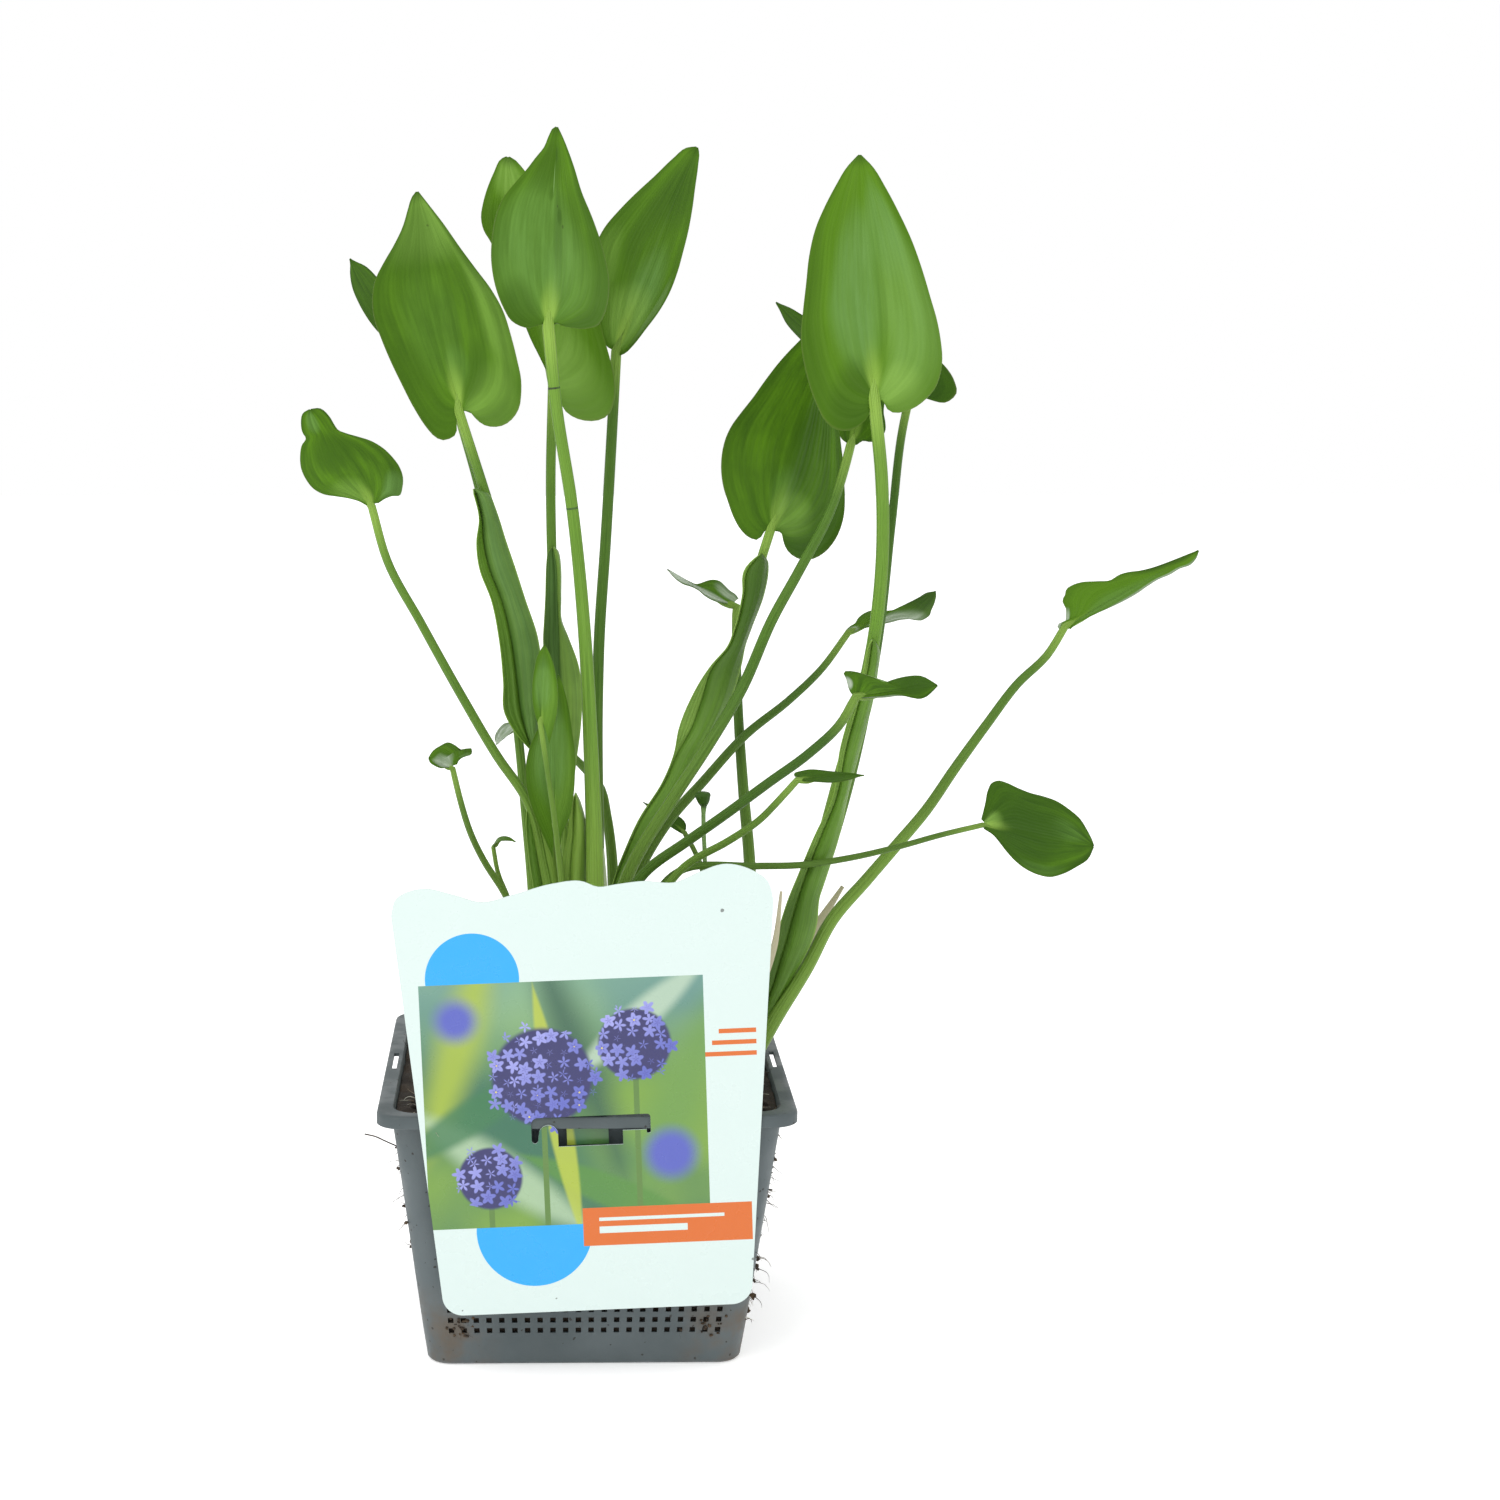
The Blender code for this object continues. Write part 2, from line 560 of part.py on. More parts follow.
def make_sheath(sheath):
    host = next(leaf for leaf in LEAVES if leaf.name == sheath.host)
    path = smooth_path(host.route, STALK_STEP / 2, sheath.start, sheath.end)
    ends = [host.thick[0] + (host.thick[1] - host.thick[0]) * share for share in (sheath.start, sheath.end)]
    radii = tapered(len(path), ends)
    points, rings = [], []
    for index, (centre, along, radius) in enumerate(zip(path, directions(path), radii)):
        ring = sheath_section(sheath, index / (len(path) - 1), centre, along, radius)
        rings.append(range(len(points), len(points) + len(ring)))
        points += ring
    faces = [list(rings[0]), list(rings[-1])]
    for low, high in zip(rings, rings[1:]):
        for index in range(len(low)):
            turn = (index + 1) % len(low)
            faces.append((low[index], low[turn], high[turn], high[index]))
    name = f"sheath_{sheath.name}"
    new_object(name, new_mesh(name, points, faces), SHEATH_GREEN, 0.4)


# Basket


def square_ring(half, corner, height):
    """A square with round corners, as points at one height."""
    ring = []
    for quarter in range(4):
        x = half - corner if quarter in (0, 3) else corner - half
        y = half - corner if quarter in (0, 1) else corner - half
        for step in range(CORNER_STEPS + 1):
            angle = pi / 2 * (quarter + step / CORNER_STEPS)
            ring.append((x + corner * cos(angle), y + corner * sin(angle), height))
    return ring


def lathe_square(name, rings):
    """A closed solid from square rings in order, filled at the first and the last."""
    points = [point for ring in rings for point in ring]
    count = len(rings[0])
    faces = [list(range(count)), list(range(len(points) - count, len(points)))]
    for level in range(len(rings) - 1):
        for index in range(count):
            turn, low = (index + 1) % count, level * count
            faces.append((low + index, low + turn, low + count + turn, low + count + index))
    return new_mesh(name, points, faces)


def wall_half(height):
    """Half the width of the basket's outer wall at a height."""
    return POT_BASE_HALF + (POT_TOP_HALF - POT_BASE_HALF) * height / POT_HEIGHT


def panel_cutter(index):
    """A shallow recess in one side of the basket, as a solid that leans with the wall."""
    corners = []
    for depth in (-PANEL_DEPTH, CUTTER_REACH):
        for height, half in ((PANEL_BOTTOM, PANEL_HALF_BOTTOM), (PANEL_TOP, PANEL_HALF_TOP)):
            for x in (-half, half):
                corners.append((x, -wall_half(height) - depth, height))
    faces = ((0, 1, 3, 2), (4, 6, 7, 5), (0, 4, 5, 1), (2, 3, 7, 6), (0, 2, 6, 4), (1, 5, 7, 3))
    return turned(f"cutter_panel_{index}", new_mesh(f"cutter_panel_{index}", corners, faces), index)


def slot_cutter(index):
    """The slot through the rim at the middle of one side."""
    length, width = RIM_SLOT
    low = (-length / 2, -RIM_SLOT_CENTRE - width / 2, POT_HEIGHT - CUTTER_REACH)
    high = (length / 2, -RIM_SLOT_CENTRE + width / 2, POT_HEIGHT + CUTTER_REACH)
    return turned(f"cutter_slot_{index}", box_mesh(f"cutter_slot_{index}", low, high), index)


def turned(name, mesh, quarter):
    """A cutter object turned by quarters of a circle about the basket's axis."""
    mesh.transform(Matrix.Rotation(quarter * pi / 2, 4, "Z"))
    body = bpy.data.objects.new(name, mesh)
    bpy.context.scene.collection.objects.link(body)
    return body


def make_pot():
    under, lip = POT_HEIGHT - RIM_THICK, POT_HEIGHT - LIP_DROP
    rings = [
        square_ring(POT_BASE_HALF - FOOT_BEVEL, POT_CORNER - FOOT_BEVEL, 0),
        square_ring(POT_BASE_HALF, POT_CORNER, FOOT_BEVEL),
        square_ring(wall_half(under), POT_CORNER, under),
        square_ring(RIM_HALF - LIP_THICK, RIM_CORNER - LIP_THICK, under),
        square_ring(RIM_HALF - LIP_THICK, RIM_CORNER - LIP_THICK, lip),
        square_ring(RIM_HALF, RIM_CORNER, lip),
        square_ring(RIM_HALF, RIM_CORNER, POT_HEIGHT - RIM_BEVEL),
        square_ring(RIM_HALF - RIM_BEVEL, RIM_CORNER - RIM_BEVEL, POT_HEIGHT),
        square_ring(POT_TOP_HALF - POT_WALL, POT_CORNER, POT_HEIGHT),
        square_ring(wall_half(POT_WALL) - POT_WALL, POT_CORNER - POT_WALL, POT_WALL),
    ]
    pot = new_object("pot", lathe_square("pot", rings), POT_GREY, 0.5)
    cut(pot, [panel_cutter(index) for index in range(4)] + [slot_cutter(index) for index in range(4)])


# Soil


def make_soil():
    """The peat, with a socket for the foot of each stalk."""
    clear, edge = POT_WALL + GAP, wall_half(SOIL_TOP)
    rings = [
        square_ring(wall_half(clear) - clear, POT_CORNER - clear, clear),
        square_ring(edge - clear, POT_CORNER, SOIL_TOP),
        square_ring(edge - SOIL_EDGE, POT_CORNER, SOIL_TOP + SOIL_SHOULDER * SOIL_DOME),
        square_ring(edge * SOIL_CROWN, POT_CORNER, SOIL_TOP + SOIL_DOME),
    ]
    soil = new_object("soil", lathe_square("soil", rings), SOIL_BROWN, 0.95)
    feet = [(leaf.name, leaf.route, leaf.thick) for leaf in LEAVES]
    feet += [(sprig.name, sprig.route, sprig.widths) for sprig in SPRIGS]
    cut(soil, [socket_cutter(*foot) for foot in feet])


def socket_cutter(name, route, widths):
    """The lower end of a stalk, a little fatter and starting a little lower."""
    path = smooth_path(route, STALK_STEP)[:3]
    path[0] += (path[0] - path[1]).normalized() * GAP
    radius = widths[0] / 2 + 2 * GAP
    mesh = tube_mesh(f"cutter_{name}", path, [radius] * len(path), STALK_SIDES)
    body = bpy.data.objects.new(f"cutter_{name}", mesh)
    bpy.context.scene.collection.objects.link(body)
    return body


# Label


def card_outline():
    """The card's edge in its own plane, anticlockwise from the bottom left corner."""
    slant = (CARD_TOP_HALF - CARD_BOTTOM_HALF) / (CARD_TOP - CARD_BOTTOM)
    points = []
    for sign, start in ((-1, pi), (1, 1.5 * pi)):
        centre = sign * (CARD_BOTTOM_HALF - CARD_CORNER + slant * CARD_CORNER)
        for step in range(CORNER_STEPS + 1):
            angle = start + pi / 2 * step / CORNER_STEPS
            x, z = centre + CARD_CORNER * cos(angle), CARD_CORNER * (1 + sin(angle))
            points.append((x, CARD_BOTTOM + z))
    return points + [(x, CARD_TOP + rise) for x, rise in CARD_WAVE]


def slot_outline():
    """The die-cut window, with the tongue that stands up in it at the left."""
    points = [(CARD_SLOT_HALF, CARD_SLOT_BOTTOM), (CARD_SLOT_HALF, CARD_SLOT_TOP)]
    points += [(-CARD_SLOT_HALF, CARD_SLOT_TOP), (-CARD_SLOT_HALF, CARD_SLOT_BOTTOM)]
    points.append((TONGUE_LEFT, CARD_SLOT_BOTTOM))
    for step in range(TONGUE_STEPS + 1):
        angle = pi - pi * step / TONGUE_STEPS
        x = TONGUE_LEFT + TONGUE_HALF * (1 + cos(angle))
        points.append((x, TONGUE_TOP - TONGUE_HALF + TONGUE_HALF * sin(angle)))
    points.append((TONGUE_LEFT + 2 * TONGUE_HALF, CARD_SLOT_BOTTOM))
    return points


def card_mesh():
    """The flat card with its window, in the XZ plane, filled between the two outlines."""
    flat = bmesh.new()
    for outline in (card_outline(), slot_outline()):
        corners = [flat.verts.new(mm((x, 0, z))) for x, z in outline]
        for first, second in zip(corners, corners[1:] + corners[:1]):
            flat.edges.new((first, second))
    bmesh.ops.triangle_fill(flat, use_beauty=True, edges=flat.edges)
    grown = bmesh.ops.extrude_face_region(flat, geom=flat.faces[:])
    moved = [item for item in grown["geom"] if isinstance(item, bmesh.types.BMVert)]
    bmesh.ops.translate(flat, verts=moved, vec=mm((0, CARD_THICK, 0)))
    bmesh.ops.recalc_face_normals(flat, faces=flat.faces)
    mesh = bpy.data.meshes.new("label")
    flat.to_mesh(mesh)
    flat.free()
    return mesh


def tab_mesh():
    """The strip that runs from the window's top edge back over the rim and down through its slot."""
    top, low, half = CARD_SLOT_TOP + CARD_THICK, CARD_SLOT_TOP, CARD_THICK / 2
    back, front = TAB_DEPTH + half, TAB_DEPTH - half
    outer = [(TAB_START, top), (front, top), (back, low), (back, low - TAB_REACH)]
    inner = [(TAB_START, low), (front - TAB_BEND, low), (front, low - TAB_BEND), (front, low - TAB_REACH)]
    profile = outer + inner[::-1]
    points = [(x, y, z) for x in (TAB_LEFT, TAB_RIGHT) for y, z in profile]
    count = len(profile)
    faces = [list(range(count)), list(range(count, 2 * count))]
    for index in range(count):
        turn = (index + 1) % count
        faces.append((index, turn, count + turn, count + index))
    return new_mesh("cutter_tab", points, faces)


def make_label():
    """The card with its tab, leaning on the front of the rim and turned a little in its plane."""
    label = new_object("label", card_mesh(), CARD_WHITE, 0.3)
    tab = bpy.data.objects.new("cutter_tab", tab_mesh())
    bpy.context.scene.collection.objects.link(tab)
    tab.hide_render = True
    tab.display_type = "WIRE"
    union = label.modifiers.new("tab", "BOOLEAN")
    union.operation = "UNION"
    union.object = tab
    x, z = CARD_CENTRE
    y = -RIM_HALF - GAP - CARD_THICK
    place = Matrix.Translation(mm((x, y, z))) @ Matrix.Rotation(radians(-CARD_TURN), 4, "Y")
    label.matrix_world = tab.matrix_world = place


def main():
    for body in list(bpy.data.objects):
        bpy.data.objects.remove(body, do_unlink=True)
    make_pot()
    make_soil()
    make_label()
    for leaf in LEAVES:
        make_leaf(leaf)
    for sheath in SHEATHS:
        make_sheath(sheath)
    for sprig in SPRIGS:
        path = smooth_path(sprig.route, STALK_STEP)
        radii = [spread(sprig.widths, index / (len(path) - 1)) / 2 for index in range(len(path))]
        new_object(sprig.name, tube_mesh(sprig.name, path, radii, STALK_SIDES), sprig.colour, 0.6)


main()
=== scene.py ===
"""Pickerel weed in a square mesh pond basket, with a printed card hung on the basket's rim.

Lengths in the tables below are in millimetres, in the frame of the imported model: +Z up, the origin at the
centre of the basket's underside and the card in front at -Y. mesh_object() turns them into metres.
"""

import random
from dataclasses import dataclass
from functools import lru_cache
from math import acos, cos, pi, radians, sin, sqrt, tau

import bmesh
import bpy
import numpy as np
from mathutils import Matrix, Vector, noise


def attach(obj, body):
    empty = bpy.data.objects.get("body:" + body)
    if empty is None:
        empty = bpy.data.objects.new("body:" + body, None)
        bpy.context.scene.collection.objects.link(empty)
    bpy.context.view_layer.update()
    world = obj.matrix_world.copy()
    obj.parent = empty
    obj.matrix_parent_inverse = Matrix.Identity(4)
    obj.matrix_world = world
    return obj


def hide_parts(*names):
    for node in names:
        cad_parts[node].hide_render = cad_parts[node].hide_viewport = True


bl_info = {
    "name": "Potted Pickerel Weed",
    "version": (1, 0, 0),
    "blender": (4, 5, 0),
    "location": "3D View > Sidebar > Pond Plant",
    "description": "Builds a pickerel weed in a mesh pond basket with a card",
    "category": "Add Mesh",
}

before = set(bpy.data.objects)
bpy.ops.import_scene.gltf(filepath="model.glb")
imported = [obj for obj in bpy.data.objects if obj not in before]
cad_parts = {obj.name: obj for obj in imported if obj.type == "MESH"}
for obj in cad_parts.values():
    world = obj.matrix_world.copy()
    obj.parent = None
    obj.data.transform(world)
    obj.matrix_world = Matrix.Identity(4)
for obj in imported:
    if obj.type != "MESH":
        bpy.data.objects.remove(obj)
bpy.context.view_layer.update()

MM = 0.001


def srgb(red, green, blue):
    """A linear colour from 8-bit sRGB values."""
    return tuple((value / 255 / 12.92) if value <= 10 else ((value / 255 + 0.055) / 1.055) ** 2.4
                 for value in (red, green, blue))


# Tables of the plant


@dataclass
class Edge:
    """One half of a blade, from the midrib out: lengths in millimetres, angles in degrees.

    `outline` holds the places of its edge, across and along by turns, from the notch beside the stalk
    round the basal lobe and up towards the tip, and `half` is its width. `fold` lifts the half at the
    midrib, `curl` bends it further towards its edge and `wave` is how high the edge ripples.
    """

    half: float
    outline: tuple
    fold: float = 5.0
    curl: float = 10.0
    wave: float = 0.5


@dataclass
class Leaf:
    """One leaf: a stalk along `route` from its foot to the joint, and a blade from the joint to `tip`.

    `left` and `right` are as seen on the upper side with the tip up, and `face` is the way that side
    looks. `arch` bends the midrib back and `twist` turns the tip against the base. `thick` holds the
    stalk's diameters at the foot and at the joint and `stem` is how dark the stalk is. `tone` names the
    blade's entry in TONES if that isn't the leaf's own name. `marks` are the distances below the joint of
    the scars round the stalk and a `taper` above 1 keeps the stalk's swelling near its foot.
    """

    name: str
    route: tuple
    thick: tuple
    tip: tuple
    left: Edge
    right: Edge
    face: tuple = (0.0, -1.0, 0.15)
    arch: float = 10.0
    twist: float = 0.0
    tone: str = ""
    stem: float = 0.5
    marks: tuple = ()
    taper: float = 1.0


FOOT = 90.0

LEAVES = (
    Leaf("centre_tall", ((2, -6, FOOT), (4.6, -16, 208), (2.8, -18, 263), (0, -20, 317), (-5.6, -23, 375),
        (-13, -26, 423), (-16, -28, 454)), thick=(13, 5.2), tip=(-12, -14, 540), arch=-8, stem=0.1,
        marks=(26, 79), taper=2.5,
        left=Edge(25, (2.4, 0.2, 5, -0.6, 8.5, -2, 12.4, -1.4, 16.5, 0.8, 19.7, 5.4, 22.6, 11.2, 25.2, 19.3,
          26.5, 27.9, 26.4, 35.8, 25.1, 45.5, 22.3, 53.5, 17.8, 60, 12.8, 66.4, 8.7, 72.3, 5.4, 76.8,
          3.4, 82.1, 1.8, 85.2), fold=6, curl=8),
        right=Edge(26, (3.6, 0.9, 6.4, -0.5, 10.8, -1.4, 17.5, -1.7, 21.9, -0.3, 24.4, 4, 26, 10.6,
          26, 19.4, 24.3, 27.3, 21.2, 37, 16.7, 47.9, 12.2, 57.5, 8.2, 68.7, 5.2, 76, 2.2, 82.3), fold=10)),
    Leaf("left_tall", ((-18, -2, FOOT), (-15, -2, 203), (-17, -5, 247), (-21, -8, 284), (-27, -10, 316),
        (-35, -12, 352), (-45, -15, 385), (-55, -18, 417)), thick=(5.4, 4.4), tip=(-73, -8, 513), arch=-6,
        stem=0.4,
        left=Edge(32, (3.2, -0.3, 2.5, -3.5, 2.3, -7.1, 3.7, -10, 6.7, -11.3, 10.2, -11.2, 12.9, -9,
          15.7, -4.5, 19.1, 3.6, 23, 16.2, 25.7, 25.9, 28.1, 36.9, 29.5, 45.9, 28.7, 54.2, 25.8, 62.1,
          20.4, 69.2, 14.6, 75.8, 9.1, 83.2, 5.5, 90.1, 2.8, 94.9), fold=8),
        right=Edge(33, (3, -0.6, 5, -1.9, 6.7, -4.9, 9.7, -8.2, 14, -10, 18.6, -10.1, 23.3, -8, 26.8, -4.4,
          29, 1.4, 30.2, 7.4, 30.1, 16.3, 29.4, 27.1, 27.9, 38.5, 24.3, 49, 19.3, 58.9, 13.7, 70.2,
          8.5, 81.4, 3.6, 90.7), fold=8, curl=16)),
    Leaf("left_curled", ((-13, -21, FOOT), (-18, -14, 212), (-26, -18, 245), (-39, -20, 265),
        (-55, -27, 294), (-72, -36, 327), (-86, -43, 355), (-92, -46, 378)), thick=(5.2, 3.6),
        tip=(-117, -56, 420), face=(0.1, -1, 0.3), arch=35, twist=-15, stem=0.4,
        left=Edge(20, (1.8, 1.1, 3.4, 3.8, 6.5, 7.3, 11.5, 11.6, 15.1, 14.9, 17.6, 19.4, 18.3, 25,
          17.5, 30.5, 14.8, 35.5, 11.5, 39, 8.4, 40.5, 8.3, 43, 6.8, 46.6, 3.5, 49.9), fold=-5, curl=-20),
        right=Edge(20, (3.1, -1, 6.2, -1, 9.6, -1.9, 13.4, -4.3, 16.3, -2.2, 18.8, 0.8, 20.1, 5.3, 19.8, 11,
          18.4, 16.9, 15.1, 23.5, 10.3, 29.2, 6.9, 33, 5, 35.8, 5, 38.8, 5.3, 42.2, 3.9, 47.7), fold=0,
          curl=-30)),
    Leaf("left_shaded", ((-22, 12, FOOT), (-24, 16, 199), (-27, 20, 234), (-30, 26, 266), (-37, 36, 320),
        (-47, 46, 375), (-59, 54, 418)), thick=(5, 3.6), tip=(-109, 80, 486), face=(-0.2, -1, 0.4), arch=20,
        tone="dark", stem=0.7,
        left=Edge(12.5, (2.4, 0, 3.2, 4.8, 4.2, 10.6, 6.2, 21, 8.2, 39.4, 9.8, 52, 8.9, 66.1, 7.1, 74.2,
          4, 81, 1.4, 85)),
        right=Edge(17, (2.4, 0, 4.9, -4.4, 9.1, -4.3, 13.4, 1.9, 16.5, 16, 14.5, 32.5, 11, 48, 8, 60,
          5.7, 68.3, 3.6, 80.2, 1.2, 85))),
    Leaf("centre_back", ((-7, 8, FOOT), (-8, 14, 199), (-11, 14, 263), (-14, 15, 332), (-15, 16, 386),
        (-14, 16, 429)), thick=(4.6, 4.4), tip=(-34, 30, 530), arch=-8, stem=0.4,
        left=Edge(18, (1.3, 3.7, 3.4, 11.5, 5.6, 19.2, 8, 30.6, 11.4, 43.9, 13.9, 57.1, 15.6, 67,
          17.5, 71.8, 17.7, 77.7, 15.4, 84.2, 12.3, 90.1, 7.6, 97, 3.3, 102.2), fold=8),
        right=Edge(28, (1.9, 1.2, 1.7, -6.6, 3, -14.3, 6.8, -18.4, 12.4, -21.2, 17.4, -22, 22, -20.8,
          25.2, -17, 27.6, -9.7, 28.3, -2, 27.9, 5.5, 27.2, 13.6, 26.6, 26.7, 24.7, 45.6, 20.1, 62.7,
          14, 79.1, 9.8, 88.6, 6.4, 94.8, 2.5, 101.1), fold=10)),
    Leaf("centre_slim", ((7, 17, FOOT), (7, 22, 200), (6.4, 24, 284), (7.2, 26, 312), (10.2, 28, 358),
        (12.6, 31, 399), (15, 34, 443)), thick=(5.8, 4.8), tip=(53, 60, 536), face=(-0.25, -1, 0.2),
        arch=12, stem=0.7,
        left=Edge(24, (2.1, -0.8, 4.7, -0.3, 7.8, 1.5, 12, 6.3, 16.5, 14.4, 20.9, 23.4, 24, 33, 25.9, 41.6,
          25.2, 49.9, 22.2, 59.7, 18.1, 70.6, 13.2, 81.9, 8.4, 93.4, 4.7, 100.3), fold=8, curl=8),
        right=Edge(19, (2.9, -2.4, 5.6, -0.5, 7.8, 2.8, 12.1, 12.1, 16, 21.1, 18.1, 30, 18.2, 39.6,
          16.8, 49.9, 15.1, 59.2, 12.1, 70.1, 8, 82.3, 4.4, 93.6, 1.9, 100.3), fold=22, curl=14)),
    Leaf("right_tall", ((48, 2, FOOT), (88, -2, 156), (100, -3, 193), (106, -5, 215), (115, -8, 252),
        (123, -10, 284), (129, -12, 316), (132, -13, 352), (131, -15, 387), (127, -16, 422)),
        thick=(6.8, 5.6), tip=(120, -6, 529), arch=-6, stem=0.1,
        left=Edge(32, (2.9, -0.6, 2.2, -4.1, 3.9, -8, 7.4, -10.9, 11.7, -13, 16, -13.3, 20.2, -11.9,
          23.8, -8.7, 26.8, -2.9, 29.7, 5, 31.9, 14.7, 32.9, 22.6, 32.9, 29.2, 31.1, 39.7, 28.8, 51.4,
          26.5, 63.5, 22.9, 74.7, 17.4, 85, 11.7, 93.8, 6.2, 101.4), fold=10, curl=14),
        right=Edge(31, (2.5, -0.4, 4.1, -1.5, 5.3, -4.6, 8.2, -6.6, 12.1, -6.5, 17, -5.2, 22, -2.1,
          26.7, 2.7, 29.2, 8.2, 30.6, 15.5, 30.5, 22.1, 29.4, 32.3, 27.4, 41.6, 24.2, 55.4, 20.6, 67.5,
          15.6, 80, 10.2, 91.7, 5.4, 100.7), fold=8, curl=6)),
    Leaf("right_broad", ((12, 6, FOOT), (19, 16, 201), (31, 20, 226), (46, 24, 252), (57, 27, 275),
        (67, 30, 302), (77, 33, 330), (82, 34, 348), (86, 34, 361)), thick=(4.8, 4.4), tip=(117, 56, 455),
        face=(-0.05, -1, 0.2), arch=4, stem=0.4,
        left=Edge(32, (1.4, 0.4, 2.5, -0.7, 3, -3.8, 4.6, -6.2, 8, -6.4, 13.1, -4.2, 17.9, 0, 22.8, 6.1,
          27.5, 12.7, 30.8, 19.8, 32.5, 26.5, 33, 32.6, 32.2, 39.2, 29.9, 46.3, 26.7, 54.8, 23.2, 65.8,
          19.5, 76, 15.1, 85.5, 9.6, 94.9), fold=6),
        right=Edge(31, (3.9, 0.8, 5.5, 0.3, 6.9, -2.7, 9.5, -6.3, 13.6, -8.6, 18.6, -9.1, 22.9, -7.4,
          27, -3.4, 29.7, 2, 31, 8.6, 30.7, 15.8, 28.7, 23.5, 25.7, 31.4, 22.7, 39.4, 19.4, 46.8,
          15.7, 55.6, 11.8, 66.8, 7.1, 80.4, 2.3, 91.4), fold=6, curl=12)),
    Leaf("right_back", ((60, 26, FOOT), (90, 28, 141), (108, 34, 186), (126, 44, 243), (139, 52, 308),
        (146, 64, 364), (152, 75, 408), (155, 78, 421)), thick=(4.4, 4), tip=(94, 112, 466),
        face=(0.2, -1, 0.6), arch=16, tone="dark", stem=0.8,
        left=Edge(20, (2.6, 0, 8, -3, 13, 5, 16, 20, 15.5, 38, 12.8, 55.9, 8.8, 67.2, 3.2, 76), curl=15),
        right=Edge(21, (2.6, 0, 5.8, -8.8, 10.6, -16.2, 17.6, -16.4, 20.4, -12.7, 23.5, -2.1, 22, 12,
          15, 30, 6, 50, 1.4, 63, 1.2, 73), curl=15)),
    Leaf("right_inner", ((16, -9, FOOT), (21, 3, 209), (41, 6, 242), (57, 9, 266), (72, 12, 291),
        (86, 14, 323), (98, 15, 345), (112, 17, 372), (118, 19, 390), (121, 21, 401)), thick=(7, 4.2),
        tip=(142, 56, 460), face=(0.1, -1, 0.5), arch=15, tone="dark", stem=0.6,
        left=Edge(17, (2.7, 0, 4.4, 0.5, 7.9, 5.1, 12, 12, 14, 22, 12, 36, 8, 48, 4, 60), curl=12),
        right=Edge(19, (2.7, 0.5, 4.6, 2.9, 8.3, 3.4, 12, 6.5, 13.2, 10, 12, 15, 10.4, 18.5, 9, 26, 8, 38,
          5, 52, 2.2, 64), curl=12)),
    Leaf("back_curled", ((70, 34, FOOT), (79, 44, 201), (76, 50, 238), (74, 57, 270), (73, 63, 303),
        (73, 66, 323)), thick=(7.2, 4), tip=(39, 42, 343), face=(0.2, -1, 0.5), arch=-6, stem=0.8,
        left=Edge(7, (-0.1, -2.2, 0.1, -0.3, 1.2, 4.2, 2.3, 8.8, 3.1, 14.9, 2.9, 18.9, 1.9, 22.4, 1.8, 26,
          2.8, 33.1, 1.9, 39.5), fold=4, curl=20),
        right=Edge(7, (4, -1.9, 5.1, 0.5, 5.6, 4.6, 6.8, 8.8, 7.5, 12.4, 6.8, 15.5, 5, 18.7, 2.5, 21.7,
          -0.2, 25.3, -0.7, 29.9, -0.6, 34.7, 0, 39.7), fold=8, curl=20)),
    Leaf("right_twisted", ((19, 26, FOOT), (28, 28, 208), (39, 32, 225), (56.5, 42, 243), (77, 50, 264),
        (98, 55, 280), (113, 58, 294), (126, 62, 311)), thick=(7, 3.2), tip=(171, 88, 328),
        face=(0, -1, 0.6), arch=8, stem=0.8,
        left=Edge(8, (1.6, -1.8, 2.6, 2, 2.7, 4.4, 4.7, 8.3, 5.7, 12.3, 5.5, 16.9, 2, 22.6, 0.3, 25.3,
          0, 29.2, 0.4, 36, 0.8, 43.1, 1.4, 49.5), fold=-6, curl=-15),
        right=Edge(8, (1.4, 0.9, 1.5, 4.7, 2.4, 8.7, 4.3, 15.5, 5.7, 20.4, 6.8, 25.1, 10.1, 29.6, 15.1, 31,
          14.8, 35.3, 10.3, 41.3, 5.3, 48.3, 1.9, 52.2), fold=10, curl=20)),
    Leaf("right_small", ((10, -21, FOOT), (29, -10, 212), (45, -18, 225.5), (61, -27, 239), (81, -36, 256),
        (98, -42, 270), (111, -47, 284), (117, -50, 296)), thick=(5.6, 4), tip=(151, -60, 302),
        face=(0.1, -1, 0.6), arch=6, stem=1,
        left=Edge(10, (0.4, -3.1, 2, -4.1, 4.4, -4.8, 7.9, -5, 11.8, -5.5, 11.7, -3.3, 10.5, 0.2, 8.3, 4.1,
          6.3, 7.8, 4.2, 11.3, 5, 15.6, 5.6, 19.7, 5.7, 24.2, 5.2, 27.2, 2.6, 31.2), fold=16, curl=20),
        right=Edge(7, (1.7, 0.9, 2.3, 5.5, 3, 11.6, 3.1, 16.2, 3.9, 19.6, 6.1, 23.6, 7.2, 26.8, 6.3, 28.7,
          3.3, 31.4), fold=14, curl=20)),
    Leaf("right_narrow", ((18, -31, FOOT), (46, -32, 219), (63, -42, 231), (76, -50, 242), (84, -56, 252),
        (91, -60, 261)), thick=(4.6, 3), tip=(117, -84, 267), face=(0.1, -1, 0.8), tone="dark", stem=0.7,
        left=Edge(6, (1.9, -3.4, 2.9, -4, 4, 1.5, 4, 6, 3.5, 10.5, 2.7, 16.1, 1.9, 21.5, 0.7, 30.1),
          fold=14),
        right=Edge(6, (-0.3, -1.3, 1.6, 3.8, 2.9, 8.8, 4.4, 15, 4.9, 20.7, 4.1, 25.4, 2.9, 29.8), fold=14)),
    Leaf("far_right", ((58, -12, FOOT), (80, -10, 129), (87, -8, 141), (102, -2, 164), (114, 4, 185),
        (130, 10, 202), (144, 15, 217), (158, 18, 233), (172, 21, 253), (187, 25, 273), (201, 28, 291),
